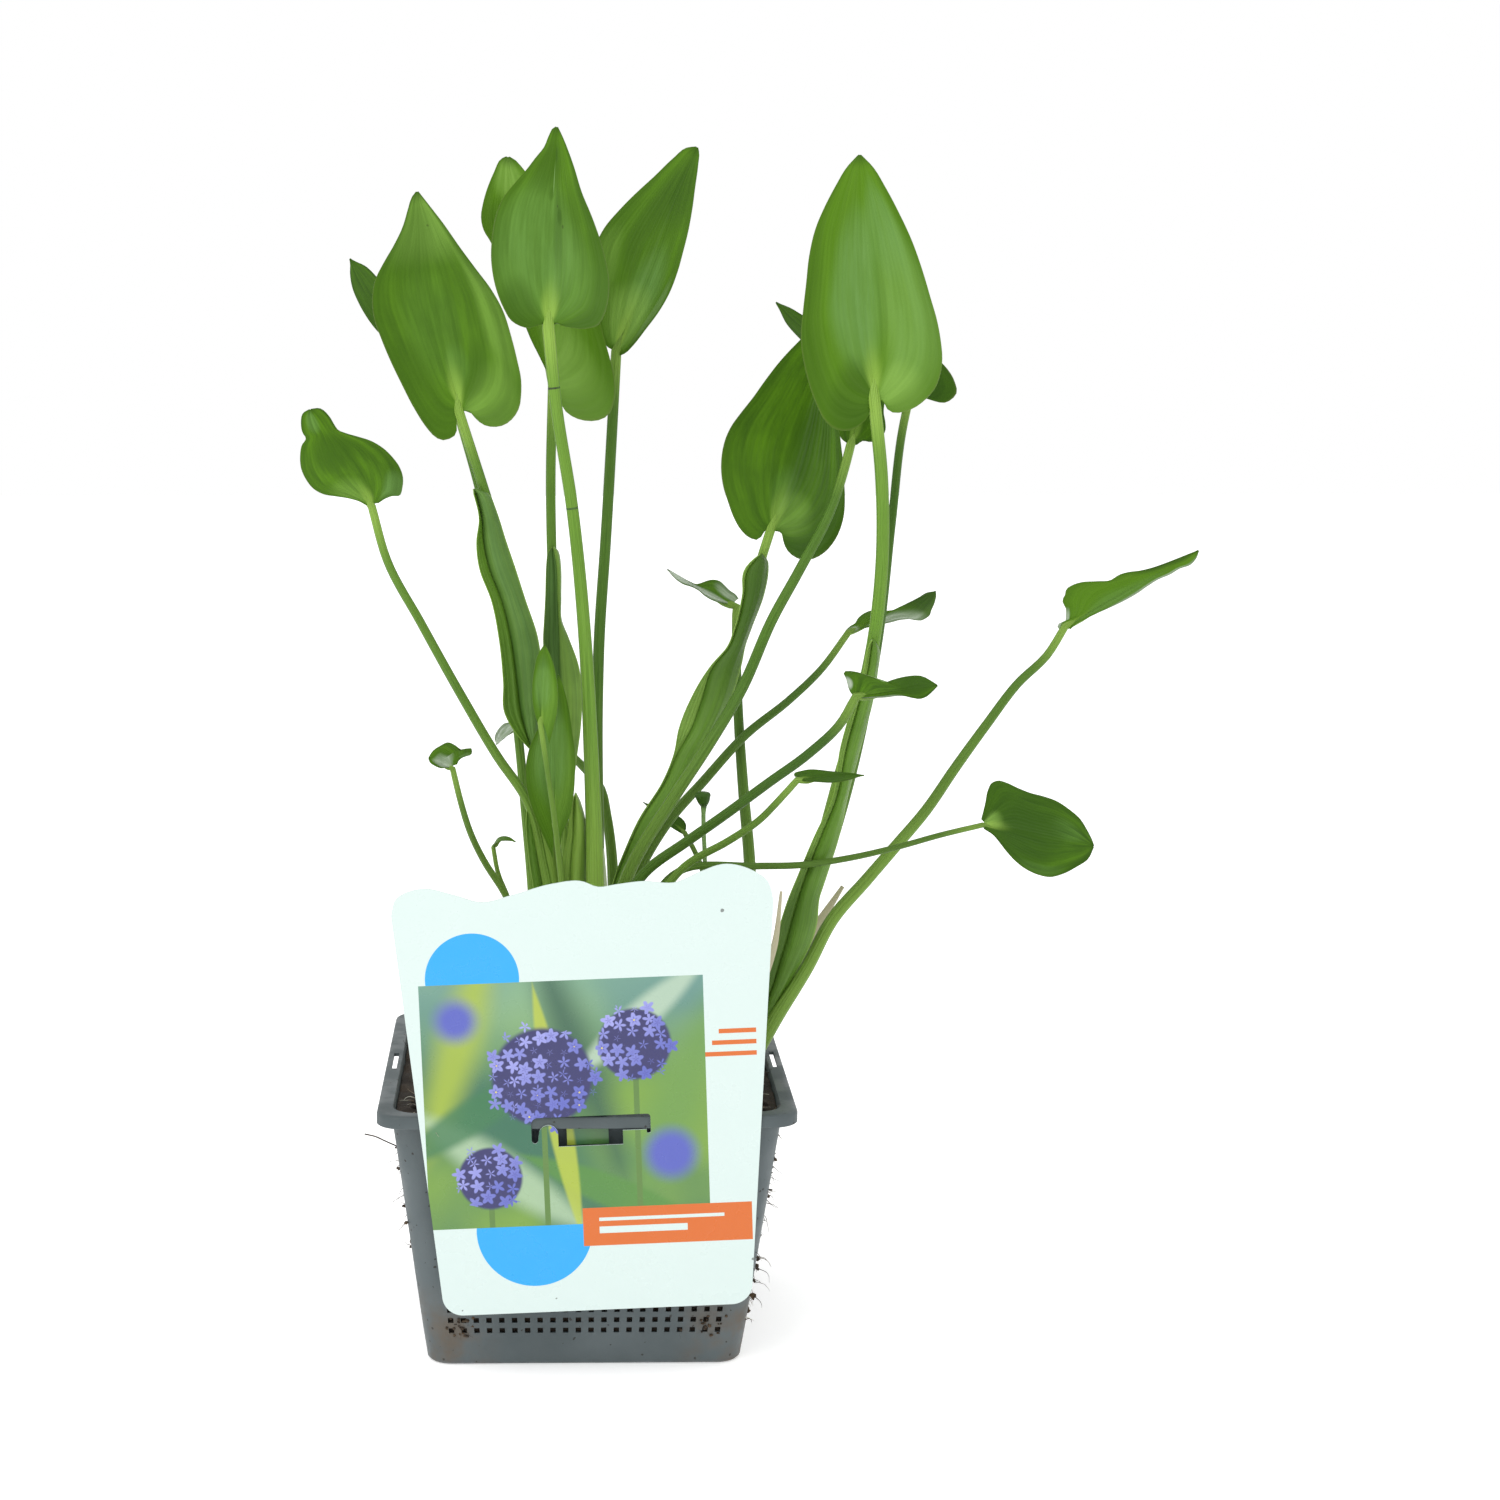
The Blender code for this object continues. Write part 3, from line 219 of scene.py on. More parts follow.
        (215, 31, 304), (223, 32, 317)), thick=(7.6, 3.6), tip=(288, 48, 351), face=(-0.2, -1, 0.6), arch=5,
        stem=0.6,
        left=Edge(16, (1, -0.3, 0.4, -4.1, 2.2, -4, 3, -2.5, 2.3, 0.3, 4.7, 2.4, 7.5, 4, 9.8, 3.9,
          11.3, 4.4, 12.4, 6.4, 14.5, 8.3, 14.8, 12.1, 13.9, 16.2, 10.9, 22.8, 8.2, 28.9, 8.4, 34.5,
          7.5, 38.6, 5.4, 43.9, 4, 48.7, 2.5, 56.2, 1.5, 62.2, 0.6, 69.1), fold=8, curl=25),
        right=Edge(14, (2.8, -0.3, 1.9, 3.5, 1.9, 8.2, 2.3, 14.4, 3.2, 21.2, 4, 28.2, 4.2, 35.5, 3.4, 42.6,
          3, 48.5, 3.7, 54.7, 3.5, 60.5, 4.6, 65.3, 3.3, 69.6), fold=8, curl=20)),
    Leaf("right_low", ((27, -7, FOOT), (48, -7, 212), (78, -10, 213), (97, -13, 214), (119, -17, 218),
        (141, -21, 224), (159, -25, 230), (177, -28, 235)), thick=(4.4, 2.4), tip=(223, -48, 229),
        face=(0, -1, 0.5), arch=12, stem=0.9,
        left=Edge(22, (2.7, -2.4, 10.9, -2.9, 17.8, -3.6, 21.8, -2.9, 23.4, -0.5, 23, 3.4, 21.1, 9.7,
          19.8, 15.7, 19.4, 21.8, 18.4, 28, 15.4, 34.7, 11.6, 40.7, 7, 44.9, 2.8, 48.1), fold=-4, curl=-10),
        right=Edge(21, (1.9, 0.3, 4.1, 5.2, 7, 8.8, 10.9, 13.1, 15.1, 18.4, 18.4, 24.2, 20, 29.9,
          19.8, 35.1, 16.9, 39.6, 11.8, 44.5, 6.6, 48.6), fold=6, curl=12)),
    Leaf("left_cap", ((-25, -31, FOOT), (-36, -30, 205), (-45, -36, 221), (-51, -44, 236), (-55, -49, 251),
        (-58, -52, 265)), thick=(4.2, 2.6), tip=(-68, -62, 271), face=(0.1, -1, 0.3), arch=6, stem=0.7,
        left=Edge(6, (0.1, 0.8, 1.9, 6, 1.9, 9.8, 1.2, 12.6), fold=-4, curl=-30),
        right=Edge(10, (2.4, -3.3, 4.3, -4.1, 6.6, -6.9, 8.6, -10.9, 10.2, -14.5, 12.5, -16.7, 14.2, -17.2,
          12.2, -14.7, 10.5, -12.6, 10.4, -9.8, 10.5, -6.1, 11.2, -2.7, 11.3, 2.2, 7.8, 8, 3.6, 12.5),
          fold=-4, curl=-25)),
    Leaf("hook", ((-24, -21, FOOT), (-35, -25, 203), (-39, -28, 214), (-41, -30, 226)), thick=(2.8, 2),
        tip=(-31, -34, 229), face=(-0.4, -0.3, 1), arch=100, tone="mid",
        left=Edge(2.2, (1.3, 0, 1.6, 0.6, 2, 1.9, 2.2, 4.9, 1.9, 7.3, 1.3, 9.2, 0.6, 10.8, 0.2, 11.8)),
        right=Edge(2.2, (1.3, 0, 1.6, 0.6, 2, 1.9, 2.2, 4.9, 1.9, 7.3, 1.3, 9.2, 0.6, 10.8, 0.2, 11.8))),
    Leaf("low_hidden", ((31, 35, FOOT), (54, 40, 207), (51, 42, 213), (48, 45, 218)), thick=(2.8, 2.4),
        tip=(29, 60, 230), face=(0, -0.8, 0.8), tone="dark", stem=0.9,
        left=Edge(4.5, (1.6, 0.5, 2.4, 5.2, 2.4, 9, 1.2, 14, 1.2, 19, 0.8, 23)),
        right=Edge(4.5, (1.8, 0, 3.6, 1.6, 4.6, 5, 4.2, 9, 2.5, 14, 1, 20, 0.6, 24))),
    Leaf("drooping", ((11, 32, FOOT), (14, 31, 196), (13, 32, 213), (11, 34, 228), (8, 38, 241),
        (1, 43, 249), (-8, 48, 257), (-20, 53, 265), (-30, 56, 268)), thick=(8, 3), tip=(-41, 60, 258),
        face=(0.3, -1, 0.4), stem=0.7,
        left=Edge(3.5, (-0.2, 2, -1.8, 4.4, -1.8, 7.1, -0.8, 9.8, -0.1, 12.1), curl=20),
        right=Edge(3.5, (3.4, 0.2, 5.5, 2.8, 5.5, 6.3, 4.5, 9.4, 2.9, 12), curl=20)),
    Leaf("front_slim", ((-4, -31, FOOT), (-11, -34, 212), (-14, -35, 241), (-17, -36, 262),
        (-20, -38, 283)), thick=(2.8, 2.4), tip=(-18, -41, 318), arch=-4, tone="front", stem=0.4,
        left=Edge(5.5, (-2.7, -10.4, -0.1, -3.8, 2.5, 2.8, 4, 9.5, 4.5, 14.9, 4, 22.9, 2.6, 30.1)),
        right=Edge(6, (4.5, -10.2, 5.9, -3.3, 7.2, 4.9, 7.3, 11.7, 6.4, 18.3, 4.7, 25.3, 2.1, 31.3))),
    Leaf("front_upright", ((-8, -14, FOOT), (-10, -17, 206), (-12, -19, 222), (-14, -21, 235)),
        thick=(3, 2.6), tip=(-12, -25, 303), arch=-4, tone="front", stem=0.4,
        left=Edge(12, (0, -16.5, 3.9, -8.1, 8.4, 1.2, 11.5, 9.2, 13.7, 17.5, 14, 26.7, 12.7, 33.9,
          9.1, 42.3, 5.1, 51.2, 1.7, 60.6), fold=14),
        right=Edge(10.5, (2.8, -14.9, 4.3, -4.2, 7, 2.4, 8.6, 10.8, 9.2, 22.3, 8.9, 31.4, 7.1, 42.6,
          4.9, 53.7, 2.9, 60.8), fold=14)),
)


@dataclass
class Sheath:
    """A leaf sheath in front of leaf `host`'s stalk, with a crease that parts its flap from its body.

    Each of `rows` holds a height and where the left edge, the crease and the right edge are at it. The
    crease lies `sunk` behind the body and the flap's edge stands `flap` before it. `crown` is how far the
    body bulges, `wrap` how far its right edge goes back and `depth` moves the whole sheath back. `shades`
    names the colours of the flap and the body, some of them mixed with painted sheen. `dark`, `top` and
    `low` are how dark the crease and the two ends are: the darker crease and the darker body higher up are
    painted shade, and `dark` also sets how strongly the sheath is mottled. `ribs` is how many ribs there
    are. A `base` is one of the old sheaths that close the foot of the clump, which has no node of its own.
    """

    name: str
    host: str
    rows: tuple
    shades: tuple
    sunk: float = 1.0
    flap: float = 2.0
    crown: float = 1.5
    wrap: float = 3.0
    depth: float = 0.0
    dark: float = 0.7
    top: float = 0.25
    low: float = 0.0
    ribs: int = 6
    base: bool = False


SHEATHS = (
    Sheath("left_tall", "left_tall", ((268, -25.1, -24.2, -21.5), (275, -30.9, -26.4, -20.1),
        (284, -35.8, -28.6, -19.2), (298, -36.4, -30.4, -19.2), (317, -38.1, -33, -20.9),
        (335, -41.5, -37.3, -26.6), (349, -46.6, -42.6, -31), (361, -47.8, -45.1, -35),
        (371, -46.6, -45.9, -38), (384, -49.4, -48.9, -42.6)), ("olive", "sheened"), sunk=2, flap=4, crown=1.5,
        dark=0.5, ribs=5),
    Sheath("centre_back", "centre_back", ((245, -11.1, -7.8, -5.1), (260, -12.9, -8.7, -3.3),
        (272, -14.7, -9.6, -1.7), (286, -16.5, -10.1, -1), (302, -17.8, -11, -2.6),
        (314, -18.7, -11.2, -6.9), (323, -18.2, -11.4, -10.3), (332, -17.7, -11.8, -10.4),
        (350, -17, -12.7, -10.8), (356, -16.3, -14.1, -11.8)), ("shaded", "light"), sunk=0.5, flap=0.5,
        crown=1, wrap=2, dark=0.5, ribs=4),
    Sheath("right_broad", "right_broad", ((196, 12, 12.8, 18.5), (205, 14.4, 15.2, 21.5),
        (215, 18.4, 19.4, 28), (230, 25.4, 26.3, 39), (247, 36.3, 37.2, 49.3), (260, 41.6, 43.2, 56),
        (271, 43.7, 49.7, 61.8), (284, 48.8, 54.4, 68.2), (301, 59.4, 60.4, 73.3), (308, 65.7, 66.4, 74.7),
        (317, 69.4, 70.1, 77.9), (332, 73, 73.7, 83.4), (345, 74.6, 76, 85.4), (351, 80.1, 81.5, 84.7)),
        ("light", "ribbed"), sunk=1, flap=1, crown=2, wrap=4, dark=0.35, top=0.75, ribs=7),
    Sheath("right_tall", "right_tall", ((141, 79.3, 81.6, 85.3), (150, 81.1, 83.8, 90),
        (159, 82.4, 86.9, 94.9), (169, 83.9, 89.6, 100.3), (178, 86.5, 92.2, 104.3), (185, 88.5, 93.9, 106),
        (197, 92, 97, 107), (209, 96.4, 100.5, 110.5), (229, 104.3, 107.5, 115.9),
        (243, 110.6, 112.7, 118.4), (269, 114.5, 117.6, 124.4), (289, 119.7, 122.6, 129.1),
        (302, 123.6, 125.8, 130.8), (311, 125, 127, 131.5), (317, 126.4, 127.7, 130)), ("light", "ribbed"),
        sunk=1.2, flap=2, crown=1.5, dark=0.5, low=0.75, ribs=5),
    Sheath("base_left", "front_upright", ((196, -22.6, -17.6, -7.7), (205, -23.5, -18.9, -8.6),
        (217, -25.2, -20.7, -10.3), (226, -26.1, -22, -13), (236, -26.5, -23.4, -16.2),
        (242, -25.6, -23.4, -18), (245, -24.2, -22.9, -20.2)), ("ribbed", "pale"), depth=7, dark=0.15,
        ribs=4, base=True),
    Sheath("base_middle", "front_upright", ((196, -11.7, -6.8, 0.9), (205, -11.3, -6.8, 0.9),
        (217, -10.4, -6.3, 0.9), (228, -8.1, -5.4, 0.5), (237, -7.2, -5.4, -0.2), (244, -6.1, -4.9, -2.2),
        (248, -4.9, -4.3, -3.6)), ("pale", "pale"), depth=6, dark=0.1, ribs=3, base=True),
)


@dataclass
class Sprig:
    """A thin upright piece with no blade, along `route` with these diameters: a husk, a shoot or a bud."""

    name: str
    route: tuple
    widths: tuple
    finish: str
    slot: str
    flat: float = 1.0
    step: float = 2.0


SPRIGS = (
    Sprig("husk_inner", ((50, 18, FOOT), (86, 20, 140), (100, 18, 163), (108.6, 17, 179), (120, 16, 198)),
        (2.6, 3.8, 5.0, 4.8, 1.8), "husk", "husk", flat=0.35),
    Sprig("husk_outer", ((38, -16, FOOT), (76, -18, 150), (85.6, -18, 178), (88.4, -18, 203)),
        (2.4, 3.4, 3.0, 1.2), "husk", "husk", flat=0.35),
    Sprig("pale_shoot", ((10, -36, FOOT), (9, -31, 170), (9, -29, 208), (8, -29, 225)),
        (2.4, 1.8, 1.4, 0.6), "shoot", "shoot"),
    Sprig("bud", ((37, 6, FOOT), (55, 0, 210), (54, -3, 236), (54, -4, 239.6), (53.8, -5, 242.4),
        (53.6, -5, 244.6), (53.5, -5, 246.0), (53.5, -5, 246.6)), (2.4, 2.0, 2.0, 2.8, 5.8, 7.2, 6.4, 0.5),
        "bud", "stalk", step=0.4),
)


# Settings


def colour_property(label, description, red, green, blue):
    return bpy.props.FloatVectorProperty(name=label, description=description, subtype="COLOR", size=3,
                                         min=0.0, max=1.0, default=srgb(red, green, blue))


def length_property(label, description, millimetres):
    return bpy.props.FloatProperty(name=label, description=description, unit="LENGTH",
                                   min=0.0, default=millimetres * MM)


class FoliageSettings(bpy.types.PropertyGroup):
    upper: colour_property("Upper side", "Colour of a blade's upper side", 80, 121, 20)
    deep: colour_property("Deep green", "Darker patches of a blade", 45, 77, 12)
    light: colour_property("Light green", "Lighter streaks of a blade", 124, 162, 72)
    # painted sheen: the pale reflection of the surrounding light, painted into the colour of blades and
    # sheaths
    sheen: colour_property("Sheen", "Colour of a blade's pale, waxy patch", 99, 138, 70)
    margin: colour_property("Margin", "Colour of a blade's thin edge", 112, 110, 72)
    under: colour_property("Underside", "Colour of a blade's underside", 120, 152, 92)
    stalk: colour_property("Stalk", "Colour of the stalks", 100, 142, 44)
    stalk_deep: colour_property("Stalk grooves", "Darker grooves along the stalks", 56, 92, 24)
    stalk_pale: colour_property("Pale stalk", "Colour of a stalk's foot and of its end at the blade",
                                138, 172, 72)
    husk: colour_property("Husk", "Colour of the dry husks", 216, 220, 206)
    withered: colour_property("Withered", "Colour of thin, dried blade edges", 190, 200, 186)
    blade_thickness: length_property("Blade thickness", "Thickness of a blade at its midrib", 0.8)


class BasketSettings(bpy.types.PropertyGroup):
    height: length_property("Height", "Height of the basket", 120.0)
    base_half: length_property("Half base", "Half the basket's width at its foot", 69.0)
    top_half: length_property("Half top", "Half the basket's width under its rim", 84.4)
    rim_half: length_property("Half rim", "Half the width of the rim", 90.0)
    hole: length_property("Hole", "Side of each square hole in the mesh", 2.4)
    colour: colour_property("Plastic", "Colour of the basket", 76, 85, 87)
    worn: colour_property("Worn plastic", "Colour of rubbed patches", 106, 115, 118)
    # painted shade: the rim's upper side is painted this darker grey because it gets more light from above
    # than the walls
    shaded: colour_property("Rim", "Colour of the rim's upper side", 58, 66, 67)


class PeatSettings(bpy.types.PropertyGroup):
    dark: colour_property("Peat", "Main colour of the peat", 36, 29, 22)
    light: colour_property("Dry peat", "Colour of dry crumbs and fibres", 104, 82, 56)
    crumbs: bpy.props.IntProperty(name="Crumbs", description="Number of loose crumbs", default=900, min=0)
    fibres: bpy.props.IntProperty(name="Fibres", description="Number of loose fibres", default=540, min=0)


class CardSettings(bpy.types.PropertyGroup):
    ground: colour_property("Card", "Colour of the unprinted card", 199, 214, 210)
    block: colour_property("Block", "Colour of the plain block", 200, 96, 14)
    arc: colour_property("Arc", "Colour of the two rounded shapes", 14, 154, 220)
    bloom: colour_property("Bloom", "Main colour of the printed flower heads", 76, 86, 172)


class StageSettings(bpy.types.PropertyGroup):
    floor: length_property("Floor", "Width of the floor", 12000.0)
    colour: colour_property("Floor colour", "Colour of the floor", 255, 255, 255)
    glow: bpy.props.FloatProperty(name="Floor glow", description="Brightness the floor adds of its own",
                                  default=0.35, min=0.0)
    key: bpy.props.FloatProperty(name="Key light", description="Power of the main soft light", default=14.0,
                                 min=0.0, subtype="POWER", unit="POWER")


class PlantSettings(bpy.types.PropertyGroup):
    foliage: bpy.props.PointerProperty(type=FoliageSettings)
    basket: bpy.props.PointerProperty(type=BasketSettings)
    peat: bpy.props.PointerProperty(type=PeatSettings)
    card: bpy.props.PointerProperty(type=CardSettings)
    stage: bpy.props.PointerProperty(type=StageSettings)


def settings():
    return bpy.context.scene.pond_plant


# Shader helpers


class Nodes:
    """Adds and links nodes in one node tree."""

    def __init__(self, tree):
        self.tree = tree

    def add(self, kind, inputs=(), **fields):
        """One node. `inputs` pairs an input's name or number with a value or with another node's output."""
        node = self.tree.nodes.new(kind)
        for field, value in fields.items():
            setattr(node, field, value)
        for key, value in dict(inputs).items():
            self.put(node.inputs[key], value)
        return node

    def put(self, socket, value):
        if isinstance(value, bpy.types.NodeSocket):
            self.tree.links.new(value, socket)
        elif socket.type == "RGBA":
            socket.default_value = (*value, 1.0)
        else:
            socket.default_value = value

    def math(self, operation, *values):
        return self.add("ShaderNodeMath", enumerate(values), operation=operation).outputs[0]

    def times(self, first, second):
        return self.math("MULTIPLY", first, second)

    def plus(self, first, second):
        return self.math("ADD", first, second)

    def minus(self, first, second):
        return self.math("SUBTRACT", first, second)

    def mix(self, factor, first, second):
        node = self.add("ShaderNodeMix", {"Factor": factor}, data_type="RGBA")
        self.put(node.inputs[6], first)
        self.put(node.inputs[7], second)
        return node.outputs[2]

    def tint(self, colour, shade, mask, share):
        """`colour` turned towards `shade` by this share of the mask."""
        return self.mix(self.times(mask, share), colour, shade)

    def range(self, value, low, high, first=0.0, last=1.0):
        """`value` taken smoothly from `first` at `low` to `last` at `high`."""
        inputs = {"Value": value, "From Min": low, "From Max": high, "To Min": first, "To Max": last}
        return self.add("ShaderNodeMapRange", inputs, interpolation_type="SMOOTHSTEP").outputs[0]

    def split(self, vector):
        return self.add("ShaderNodeSeparateXYZ", {0: vector}).outputs

    def noise(self, vector, scale, detail=3.0, roughness=0.5):
        inputs = {"Vector": vector, "Scale": scale, "Detail": detail, "Roughness": roughness}
        return self.add("ShaderNodeTexNoise", inputs).outputs[0]

    def group(self, tree, inputs):
        node = self.tree.nodes.new("ShaderNodeGroup")
        node.node_tree = tree
        for key, value in inputs.items():
            self.put(node.inputs[key], value)
        return node.outputs[0]

    def bump(self, height, distance):
        inputs = {"Height": height, "Distance": distance, "Strength": 1.0}
        return self.add("ShaderNodeBump", inputs).outputs[0]

    def uv(self):
        return self.add("ShaderNodeUVMap", uv_map="UVMap").outputs[0]

    def place(self):
        return self.add("ShaderNodeTexCoord").outputs["Object"]

    def lines(self, count, wander):
        return self.group(lengthwise_lines(), {"Map": self.uv(), "Count": count, "Wander": wander})

    def streaks(self, fineness):
        return self.group(streaks(), {"Map": self.uv(), "Fineness": fineness})

    def mottling(self, scale, place=None):
        return self.group(mottling(), {"Place": place or self.place(), "Scale": scale})

    def specks(self, scale, share, place=None):
        return self.group(specks(), {"Place": place or self.place(), "Scale": scale, "Share": share})

    def surface(self, colour, normal=None, roughness=None):
        """Feed the material's shader with what varies over the surface."""
        shader = self.tree.nodes["Principled BSDF"]
        for key, value in (("Base Color", colour), ("Normal", normal), ("Roughness", roughness)):
            if value is not None:
                self.put(shader.inputs[key], value)


def effect(name, inputs, output, build):
    """A node group with these inputs and one output, made once. `build` returns the output's source."""
    if name in bpy.data.node_groups:
        return bpy.data.node_groups[name]
    tree = bpy.data.node_groups.new(name, "ShaderNodeTree")
    for label, kind in inputs.items():
        tree.interface.new_socket(label, in_out="INPUT", socket_type=f"NodeSocket{kind}")
    tree.interface.new_socket(output, in_out="OUTPUT", socket_type="NodeSocketFloat")
    nodes = Nodes(tree)
    source = nodes.add("NodeGroupInput").outputs
    end = nodes.add("NodeGroupOutput")
    tree.links.new(build(nodes, source), end.inputs[0])
    return tree


def lengthwise_lines():
    """Fine lines that run along V of the map, as many across U as Count, wandering by Wander lines."""

    def build(nodes, source):
        across, along, _ = nodes.split(source["Map"])
        slow = nodes.add("ShaderNodeCombineXYZ", {0: across, 1: nodes.times(along, 0.35)})
        wander = nodes.minus(nodes.noise(slow.outputs[0], 7.0), 0.5)
        turns = nodes.times(across, source["Count"])
        turns = nodes.plus(turns, nodes.times(wander, source["Wander"]))
        wave = nodes.math("SINE", nodes.times(turns, tau))
        return nodes.range(wave, -0.9, 1.0)

    inputs = {"Map": "Vector", "Count": "Float", "Wander": "Float"}
    return effect("Lengthwise lines", inputs, "Lines", build)


def streaks():
    """Soft uneven streaks drawn out along V of the map."""

    def build(nodes, source):
        across, along, _ = nodes.split(source["Map"])
        wide = nodes.times(across, source["Fineness"])
        drawn = nodes.add("ShaderNodeCombineXYZ", {0: wide, 1: nodes.times(along, 1.6)})
        return nodes.range(nodes.noise(drawn.outputs[0], 1.0, 4.0, 0.6), 0.3, 0.7)

    return effect("Streaks", {"Map": "Vector", "Fineness": "Float"}, "Mask", build)


def mottling():
    """Cloudy patches, Scale of them to the metre."""

    def build(nodes, source):
        return nodes.range(nodes.noise(source["Place"], source["Scale"], 4.0, 0.55), 0.35, 0.68)

    return effect("Mottling", {"Place": "Vector", "Scale": "Float"}, "Mask", build)


def specks():
    """Small scattered spots. Share is how far each reaches into its cell."""

    def build(nodes, source):
        cells = nodes.add("ShaderNodeTexVoronoi", {"Vector": source["Place"], "Scale": source["Scale"]})
        ragged = nodes.noise(source["Place"], nodes.times(source["Scale"], 3.0))
        reach = nodes.times(source["Share"], nodes.range(ragged, 0.35, 0.75))
        return nodes.math("LESS_THAN", cells.outputs["Distance"], reach)

    return effect("Specks", {"Place": "Vector", "Scale": "Float", "Share": "Float"}, "Mask", build)


def finish(name, build, roughness, **sockets):
    """The material of this name, made once: plain values on its shader, and the nodes that `build` adds."""
    material = bpy.data.materials.get(name)
    if not material:
        material = bpy.data.materials.new(name)
        material.use_nodes = True
        shader = material.node_tree.nodes["Principled BSDF"]
        for key, value in {"Roughness": roughness, **sockets}.items():
            shader.inputs[key.replace("_", " ")].default_value = value
        build(Nodes(material.node_tree))
    return material


# Finishes of the plant


@dataclass
class Tone:
    """How a blade's finish differs from its plain green.

    Each of `patches` is a colour's name, a place (across, along), a half width, a half length and a
    strength, with across and along running from 0 to 1 over the blade. The sheen patches are painted
    reflection of the surrounding light, and the deep and light patches are partly the blade's own darker
    and lighter green and partly painted shade and light, as on lobes turned away and where a blade behind
    shows through as painted shadow. `deep` and `light` are the shares of deep and light green in it, `base`
    is how strongly the stalk's pale colour spreads into it and `rough` is its roughness.
    """

    patches: tuple = (("sheen", 0.5, 0.4, 0.3, 0.4, 0.4),)
    deep: float = 0.35
    light: float = 0.35
    base: float = 0.8
    rough: float = 0.36


